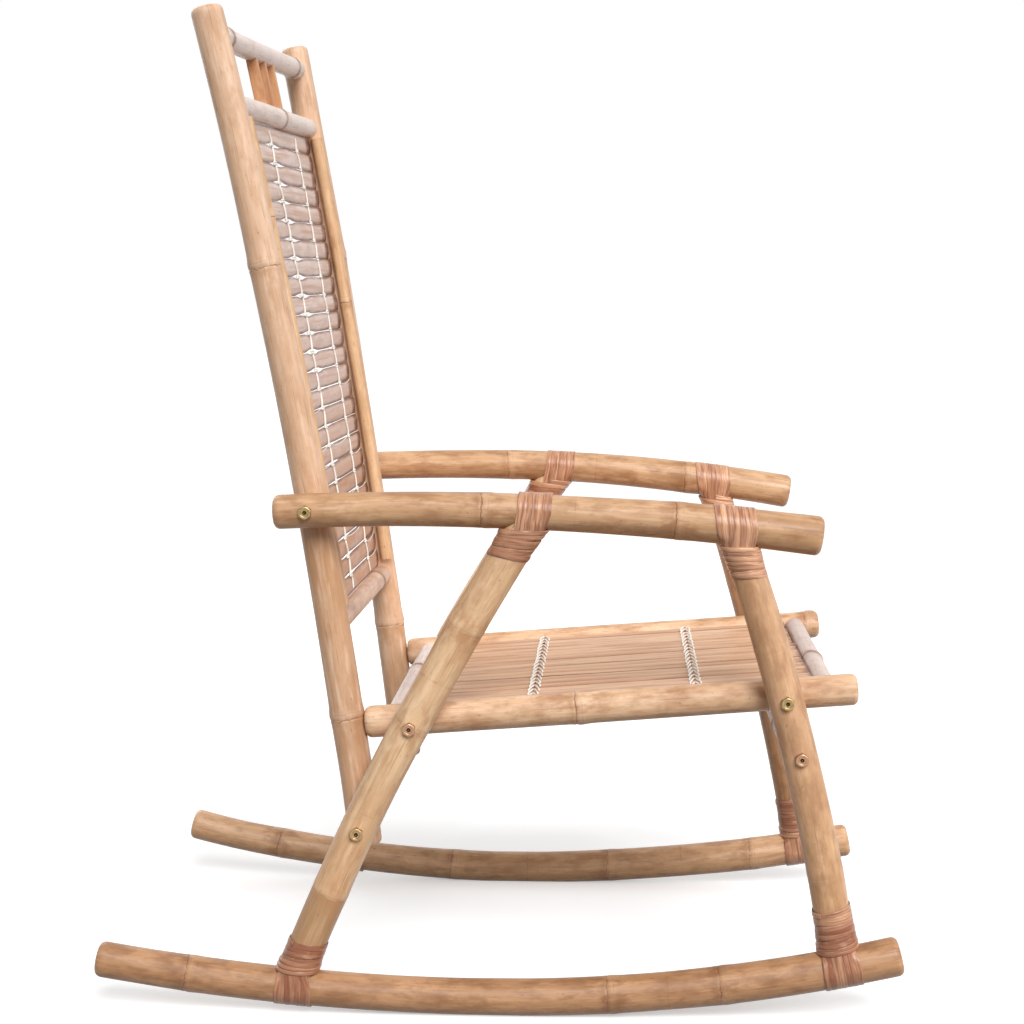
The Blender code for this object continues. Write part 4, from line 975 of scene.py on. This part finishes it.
# Lacing of the back: a cord over the slats in each column, runs along the gaps, and knots
over = slat_set + SLAT_SKIN / 2 + CORD_R + 0.0003
stops = (-slat_end + 0.010, *LACING_Y, slat_end - 0.014)
for number, y in enumerate(LACING_Y):
    main = y == MAIN_LACING_Y
    lacing = Surface(f"back_lacing_cord_{number + 1}")
    points = []
    for slat in range(BACK_SLAT_COUNT):
        drift = chance.uniform(-CORD_STRAY, CORD_STRAY)
        points.append(panel_point(slat_level(slat), y + drift, over - CORD_DIP))
        points.append(panel_point(slat_level(slat + 0.24), y + drift, over))
        drift = chance.uniform(-CORD_STRAY, CORD_STRAY)
        points.append(panel_point(slat_level(slat + 0.76), y + drift, over))
    cord(lacing, points[1:], CORD_R if main else CORD_R * 0.8)
    spans = [(stops[number], y)] if number < 2 else [(stops[number], y), (y, stops[number + 2])]
    for gap in range(1, BACK_SLAT_COUNT):
        size = MAIN_KNOT if main else SIDE_KNOT
        for turn in (-0.05, 0.05):
            knot = []
            for k, bulge in ((-1, 0.0), (-0.4, 0.0012), (0.4, 0.0014), (1, 0.0)):
                place = slat_level(gap + turn + chance.uniform(-0.03, 0.03))
                knot.append(panel_point(place, y + k * size, over - CORD_DIP + bulge))
            cord(lacing, knot, CORD_R * 1.1, 4)
        for start, end in spans if gap < BACK_SLAT_COUNT * RUN_SHARE else ():
            if chance.random() > RUN_CHANCE:
                continue
            sag = chance.uniform(-0.22, 0.02)
            run = []
            for k in np.linspace(0, 1, 7):
                place = slat_level(gap + 0.02 + sag * math.sin(math.pi * k))
                run.append(panel_point(place, start + (end - start) * k, over - CORD_DIP * 0.9))
            cord(lacing, run, CORD_R * 0.45, 3, 6)
    lacing.make(cord_white, f"back_lacing_{number + 1}")

# Seat mat
seat_along = Vector((math.cos(SEAT_PITCH), 0.0, math.sin(SEAT_PITCH)))
seat_up = Vector((-math.sin(SEAT_PITCH), 0.0, math.cos(SEAT_PITCH)))
mat_half = POST_Y - SEAT_RAIL_R - RING_HEIGHT - SEAT_EDGE_GAP
slat_pitch = 2 * mat_half / SEAT_SLAT_COUNT
slat_low = SEAT_SLAT_TOP - SEAT_SLAT_THICK
rail_reach = math.sqrt(max(CROSS_RAIL_R**2 - slat_low**2, 0.0)) + RING_HEIGHT + FIT
seat_rear = Vector((SEAT_REAR_RAIL_X, 0.0, seat_z(SEAT_REAR_RAIL_X))) + seat_along * rail_reach
seat_front = Vector((SEAT_FRONT_RAIL_X, 0.0, seat_z(SEAT_FRONT_RAIL_X))) - seat_along * rail_reach
seat_length = (seat_front - seat_rear).length


def seat_place(along, y, height):
    """A point on the seat: along from the rear rail, across, and above the rails' axes."""
    point = seat_rear + seat_along * along + seat_up * height
    return Vector((point.x, y, point.z))


seat = Surface("seat_slats")
edges = [-mat_half]
for number in range(1, SEAT_SLAT_COUNT):
    edges.append(number * slat_pitch - mat_half + chance.uniform(-0.006, 0.006))
edges.append(mat_half)
for number, (low, high) in enumerate(zip(edges, edges[1:])):
    width = high - low - chance.uniform(0.0006, 0.0014)
    section = split_section(SEAT_SLAT_THICK, width, 13, 0.28)
    section[:, 1] *= 1 + chance.uniform(-0.04, 0.04)
    start = chance.uniform(0.0, 0.006)
    end = seat_length - chance.uniform(0.0, 0.004)
    tip = end - np.array((0.009, 0.006, 0.004, 0.002, 0.0))
    along = np.concatenate((np.linspace(start, end - 0.012, SEAT_STEPS - len(tip)), tip))
    phase = chance.uniform(0, 6)
    wave = chance.uniform(0.0, 0.0006)
    middle = SEAT_SLAT_TOP - SEAT_SLAT_THICK / 2
    bend = chance.uniform(-0.0012, 0.0012)
    centres = []
    for a in along:
        y = (low + high) / 2 + bend * math.sin(math.pi * a / seat_length)
        centres.append(seat_place(a, y, middle + wave * math.sin(9 * a + phase) - wave))
    grid = swept(np.array(centres), (0.0, 1.0, 0.0), seat_up, section)
    # Dark lines along the slats' edges: painted shade of the gaps, partly the darker split edges
    from_edge = (width / 2 - np.abs(section[:, 0])) * chance.uniform(0.15, 0.6)
    from_edge += chance.uniform(0.0004, 0.0011)
    end_shadow_scale = 0.12 + 0.4 * (0.618 * number % 1.0)  # the painted shadow at the front end of each slat has its own length
    line = np.minimum(from_edge[None], ((end - along) * end_shadow_scale)[:, None])
    seat.add(grid, split_grain(section, 0.3 * along, 80 + number), line, chance.uniform(-0.8, 0.8))
for x in BATTEN_X:
    drop = seat_up * (slat_low + BATTEN_SINK - BATTEN_R)
    stop = Vector((0.0, SOCKET_STOP, 0.0))
    right, left = seat_ends(x)
    axis = straight(right + drop + stop, left + drop - stop)
    culm(seat, axis, (BATTEN_R, BATTEN_R), (0.35,), 90 + int(x * 100), 0.2, BATTEN_SIDES, False)
seat.make(seat_look, "seat_slat_mat")

# Seat stitching: a chevron of two stitches to each slat, over each batten
# Places on a stitch: away from the batten's middle, along the stitch, and above the slats
STITCH_PLACES = (
    (1.0, 0.0, -0.0014), (0.92, 0.12, 0.0002), (0.55, 0.5, 0.0006), (0.18, 0.88, 0.0003),
    (0.02, 1.0, -0.0012),
)
for number, x in enumerate(BATTEN_X):
    stitches = Surface(f"seat_stitch_{number + 1}")
    middle = (Vector((x, 0.0, seat_z(x))) - seat_rear).dot(seat_along)
    for stitch_number in range(SEAT_SLAT_COUNT):
        near = -mat_half + stitch_number * slat_pitch + chance.uniform(-0.002, 0.002)
        for sign in (-1, 1):
            half = STITCH_HALF * chance.uniform(0.88, 1.08)
            stitch = []
            for across, share, lift in STITCH_PLACES:
                y = min(near + share * STITCH_LAP * slat_pitch, mat_half - STITCH_R)
                height = SEAT_SLAT_TOP + STITCH_R * 0.8 + lift
                stitch.append(seat_place(middle + sign * half * across, y, height))
            cord(stitches, stitch, STITCH_R, 4, 7)
    stitches.make(cord_white, slot="cord")


# Lashings
def strip_section(width, thick, drop):
    """Section of a cane strip: flat below, rounded above, thinner by drop at its edges."""
    share = np.linspace(-1, 1, 9)
    top = np.stack([share * width / 2, thick * (1 - drop * np.abs(share) ** 4)], axis=1)
    return np.concatenate((top, [(width * 0.46, 0.0), (-width * 0.46, 0.0)]))


def strip_grain(section, line, seed):
    return grain_grid(section[:, 0] + 0.9 * seed, 0.4 * seed, lengths(line))


def lash(side, leg, key, seed):
    """A saddle of strips over the pole and a binding round the leg."""
    joint = Joint(side, leg, key)
    luck = random.Random(seed)
    where = f"{SIDE_NAME[side]}_{leg}_{key}"
    saddle_width, lean, count, shade, bound = LASHINGS[leg, key]
    slant, stretch = joint.slant, joint.stretch
    strip_r = joint.leg_r + STRIP_LIFT
    over_r = joint.pole_r + STRIP_LIFT
    shift = SADDLE_SHIFT[key] * slant * over_r
    turned = math.asin(SADDLE_TURN * (1 - lean) * slant / stretch)

    def saddle_row(share):
        """The middle line of a strip, from the outside of the leg, over the pole, to its inside."""
        angle = turned + share * SADDLE_SPREAD[leg]
        v_leg, u_leg = strip_r * math.sin(angle), strip_r * math.cos(angle)
        low = min(v_leg * slant - over_r * stretch - STRIP_THICK, -SADDLE_DROP / 3)

        def over_pole(height):
            """Places beside the leg's axis and beyond the joint, at a height from the pole's axis."""
            along = share * saddle_width / 2 + slant * lean * (height - over_r) - shift
            return (along - slant * height) / stretch, (along * slant + height) / stretch

        v_side, w_side = over_pole(0.0)
        width = max(over_r, math.sqrt(max(strip_r**2 - v_side**2, 0.0)))
        v_half, w_half = (v_leg + v_side) / 2, (low + w_side) / 2
        drop_half = (w_half - slant * v_half) / stretch
        u_half = max(
            (u_leg + width) / 2,
            math.sqrt(max((SADDLE_EASE * strip_r) ** 2 - v_half**2, 0.0)),
            math.sqrt(max((SADDLE_EASE * over_r) ** 2 - drop_half**2, 0.0)),
        )
        v_end, u_end = (part * (joint.leg_r - STRIP_THICK) / strip_r for part in (v_leg, u_leg))
        points = [joint.beside_leg(v_end, u_end, -SADDLE_DROP), joint.beside_leg(v_leg, u_leg, low)]
        points.append(joint.beside_joint(v_half, u_half, w_half))
        for turn in np.linspace(0, math.pi, 13):
            v, w = over_pole(over_r * math.sin(turn))
            points.append(joint.beside_joint(v, width * math.cos(turn), w))
        points.append(joint.beside_joint(v_half, -u_half, w_half))
        points += [joint.beside_leg(v_leg, -u_leg, low), joint.beside_leg(v_end, -u_end, -SADDLE_DROP)]
        return smooth_line(points, 4)

    saddle = Surface(f"{where}_saddle_strips")
    middle = np.array(joint.middle - joint.beyond * SADDLE_DROP / 2)
    for number in range(SADDLE_STRIPS):
        share = (number + 0.5) * 2 / SADDLE_STRIPS - 1 + luck.uniform(-0.01, 0.01)
        line = saddle_row(share)
        across = unit(saddle_row(share + 0.02) - saddle_row(share - 0.02))
        out = unit(np.cross(across, unit(np.gradient(line, axis=0))))
        if np.sum((line[0] - middle) * out[0]) < 0:
            out = -out
        width = saddle_width / SADDLE_STRIPS * luck.uniform(0.97, 1.04)
        section = strip_section(width, STRIP_THICK * luck.uniform(0.9, 1.2), 0.35)
        # distance from the strip's edges, where the cane paints dark lines of shade
        edge = (width / 2 - np.abs(section[:, 0]))[None] + luck.uniform(0.0001, 0.0008)
        tone = shade + luck.uniform(-0.8, 0.7)
        grid = swept(line, across, out, section)
        saddle.add(grid, strip_grain(section, line, seed + number), edge, tone)
    saddle.make(cane_look, f"{where}_saddle")

    binding = Surface(f"{where}_binding_strip")
    round_turns, round_pitch = ROUND_TURNS[key], ROUND_PITCH[key]
    top = over_r * stretch + STRIP_THICK + BINDING_WIDTH / 2 - BINDING_RISE
    fan_pitch = joint.leg_r * abs(slant) * BINDING_FAN / count
    turns = np.arange(round(count * BINDING_STEPS) + 1) / BINDING_STEPS
    rounded = np.clip(2 * (round_turns - turns) + 1, 0, 1)
    drift = [luck.uniform(0, 6.3) for _ in range(3)]
    line, outs = [], []
    for turn in turns:
        angle = 2 * math.pi * turn
        share = turn / count
        tuck = max(0.0, 2 * (turn - count) + 1)
        under = (STRIP_LIFT + STRIP_THICK) * min(1.0, max(0.0, 1.3 - 1.7 * share))
        uneven = 0.00015 * math.sin(2.3 * angle + drift[0])
        r = joint.leg_r + 0.0002 + under + uneven + 0.0006 * min(1.0, 3 * tuck)
        v, u = r * math.sin(angle), -r * math.cos(angle)
        wander = 0.0009 * math.sin(0.37 * angle + drift[1]) + 0.0006 * math.sin(1.13 * angle + drift[2])
        down = round_pitch * min(turn, round_turns) + BINDING_PITCH * max(0.0, turn - round_turns)
        fanned = v * slant * (1 - BINDING_FAN * share)
        w = fanned - top - down - turn * fan_pitch + wander * min(1.0, turn) + 0.006 * tuck
        line.append(joint.beside_leg(v, u, w))
        outs.append(joint.sideways * math.sin(angle) - Vector((0.0, joint.side * math.cos(angle), 0.0)))
    line, outs = np.array(line), np.array(outs)
    tangents = unit(np.gradient(line, axis=0))
    across = unit(np.cross(outs, tangents))
    across *= np.sign(across @ np.array(joint.beyond))[:, None]
    out = unit(outs - tangents * np.sum(outs * tangents, axis=1)[:, None])
    section = strip_section(BINDING_WIDTH, STRIP_THICK, 0.55)
    knots = [luck.uniform(0.55, 1.1) for _ in range(round(count * 2) + 2)]
    thick = np.interp(turns * 2, np.arange(len(knots)), knots) + 0.9 * rounded
    wide = 1 + (round_pitch * 1.2 / BINDING_WIDTH - 1) * rounded
    rows = section[None] * np.stack([wide, thick], axis=1)[:, None]
    rows[..., 1] += 0.07 * section[None, :, 0]
    knots = [bound + luck.uniform(-0.4, 0.4) for _ in knots]
    tone = np.interp(turns * 2, np.arange(len(knots)), knots) + 0.5 * rounded
    # Only the right front rocker's binding pales; the left one stays darker as painted shade
    if where == "right_front_rocker":
        tone += 1.1 * np.clip(2 * turns / count - 1, 0, 1)  # paler away from the joint
    # distance from the wrap's edges, where the cane paints dark lines of shade
    edge = (BINDING_WIDTH / 2 - np.abs(section[:, 0]))[None] + 0.0002
    grid = swept(line, across, out, rows)
    binding.add(grid, strip_grain(section, line, seed + 11), edge, tone[:, None])
    binding.make(cane_look, f"{where}_binding")


lashings = [(side, leg, key) for side in SIDE_NAME for leg in LEG_RADII for key in ("arm", "rocker")]
for number, lashing in enumerate(lashings):
    lash(*lashing, 100 + 20 * number)


# Bolts
def bolt(node, tone):
    """A hexagon bolt in place of a solid one, with a rounded chamfer and a drive recess."""
    side = LEFT if node.startswith("left") else RIGHT
    low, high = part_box(node)
    x, z = ((low[k] + high[k]) / 2 for k in (0, 2))
    outer, inner = (high[1], low[1]) if side == LEFT else (-low[1], -high[1])
    angles, circle = round_points(BOLT_SIDES)
    apothem = BOLT_HEAD_FLATS / 2
    hexagon = 1 / np.cos((angles + math.pi / 6) % (math.pi / 3) - math.pi / 6)
    top = BOLT_HEAD_HEIGHT
    rings = (  # reach as a share of the apothem, height, and light, whose low values paint shade in the drive recess and round the head's foot
        (0.62, inner - outer + top, 1.0),
        (0.615, 0.0, 0.0),
        (0.98, 0.0, 0.1),
        (hexagon, 0.0003, 1.0),
        (hexagon, top * 0.72, 1.0),
        (np.minimum(hexagon, 1.06), top * 0.84, 1.0),
        (0.98, top * 0.95, 1.0),
        (0.84, top, 1.0),
        (0.66, top, 1.0),
        (0.60, top * 0.93, 0.1),
        (0.56, top * 0.86, 0.6),
        (0.34, top * 0.84, 1.0),
        (0.30, top * 0.70, 0.0),
        (0.12, top * 0.52, 0.0),
    )
    grid = np.empty((len(rings), len(angles), 3))
    ring = np.empty((len(rings), len(angles)))
    for row, (reach, height, light) in enumerate(rings):
        grid[row, :, 0] = x + apothem * reach * circle[:, 0]
        grid[row, :, 1] = side * (outer - top + height)
        grid[row, :, 2] = z + apothem * reach * circle[:, 1]
        ring[row] = light
    surface = Surface(f"{node}_hex")
    surface.add(grid, grid, ring, tone)
    surface.make(zinc_look, node)


for name in SIDE_NAME.values():
    for key, tone in BOLT_TONES.items():
        bolt(f"{name}_{key}_bolt", tone)
        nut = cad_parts[f"{name}_{key}_nut"]
        nut.data.materials.clear()
        nut.data.materials.append(zinc_look)
    bolt(f"{name}_stretcher_screw", SCREW_TONE)


# Floor, light and camera
def choose(tree, other, background, output):
    """Shows a background to the camera, directly or in gloss or glass, and another to the rest."""
    rays = shader_node(tree, "ShaderNodeLightPath").outputs
    seen = rays["Is Camera Ray"]
    for key in ("Is Glossy Ray", "Is Transmission Ray"):
        seen = shader_node(tree, "ShaderNodeMath", {0: seen, 1: rays[key]}, operation="MAXIMUM").outputs[0]
    shaders = {0: seen, 1: other.outputs[0], 2: background.outputs[0]}
    chosen = shader_node(tree, "ShaderNodeMixShader", shaders)
    tree.links.new(chosen.outputs[0], tree.nodes[output].inputs["Surface"])


floor_mesh = bpy.data.meshes.new("floor")
corners = [(sx * FLOOR_SIZE, sy * FLOOR_SIZE, 0.0) for sx, sy in ((-1, -1), (1, -1), (1, 1), (-1, 1))]
floor_mesh.from_pydata(corners, [], [(0, 1, 2, 3)])
floor_look = bpy.data.materials.new("floor")
floor_look.use_nodes = True
tree = floor_look.node_tree
matt = shader_node(tree, "ShaderNodeBsdfDiffuse", {"Color": FLOOR_WHITE})
glow = shader_node(tree, "ShaderNodeEmission", {"Color": WHITE, "Strength": FLOOR_GLOW})
white = shader_node(tree, "ShaderNodeAddShader", {0: matt.outputs[0], 1: glow.outputs[0]})
dim = shader_node(tree, "ShaderNodeBsdfDiffuse", {"Color": FLOOR_BOUNCE})
choose(tree, dim, white, "Material Output")
floor_mesh.materials.append(floor_look)
floor = placed("floor", floor_mesh)

world = bpy.data.worlds.new("studio")
world.use_nodes = True
tree = world.node_tree
soft = tree.nodes["Background"]
soft.inputs["Color"].default_value = WHITE
soft.inputs["Strength"].default_value = SKY_LIGHT
bright = shader_node(tree, "ShaderNodeBackground", {"Color": WHITE, "Strength": 1.0})
choose(tree, soft, bright, "World Output")
bpy.context.scene.world = world

sun = bpy.data.lights.new("key", "SUN")
sun.energy = SUN_POWER
sun.angle = SUN_SPREAD
placed("key", sun, turn=SUN_TURN)
for name, power, size, place, aim in FILLS:
    fill = bpy.data.lights.new(name, "AREA")
    fill.energy = power
    fill.size = size
    placed(name, fill, place, (Vector(aim) - Vector(place)).to_track_quat("-Z", "Y").to_euler())

camera = bpy.data.cameras.new("camera")
camera.sensor_width = 36.0
camera.lens = CAMERA_PIXELS / FRAME_PIXELS * camera.sensor_width
camera_turn = (math.radians(90 + CAMERA_PITCH), 0.0, math.radians(CAMERA_YAW))
bpy.context.scene.camera = placed("camera", camera, CAMERA_PLACE, camera_turn)
bpy.context.scene.view_settings.view_transform = "Standard"
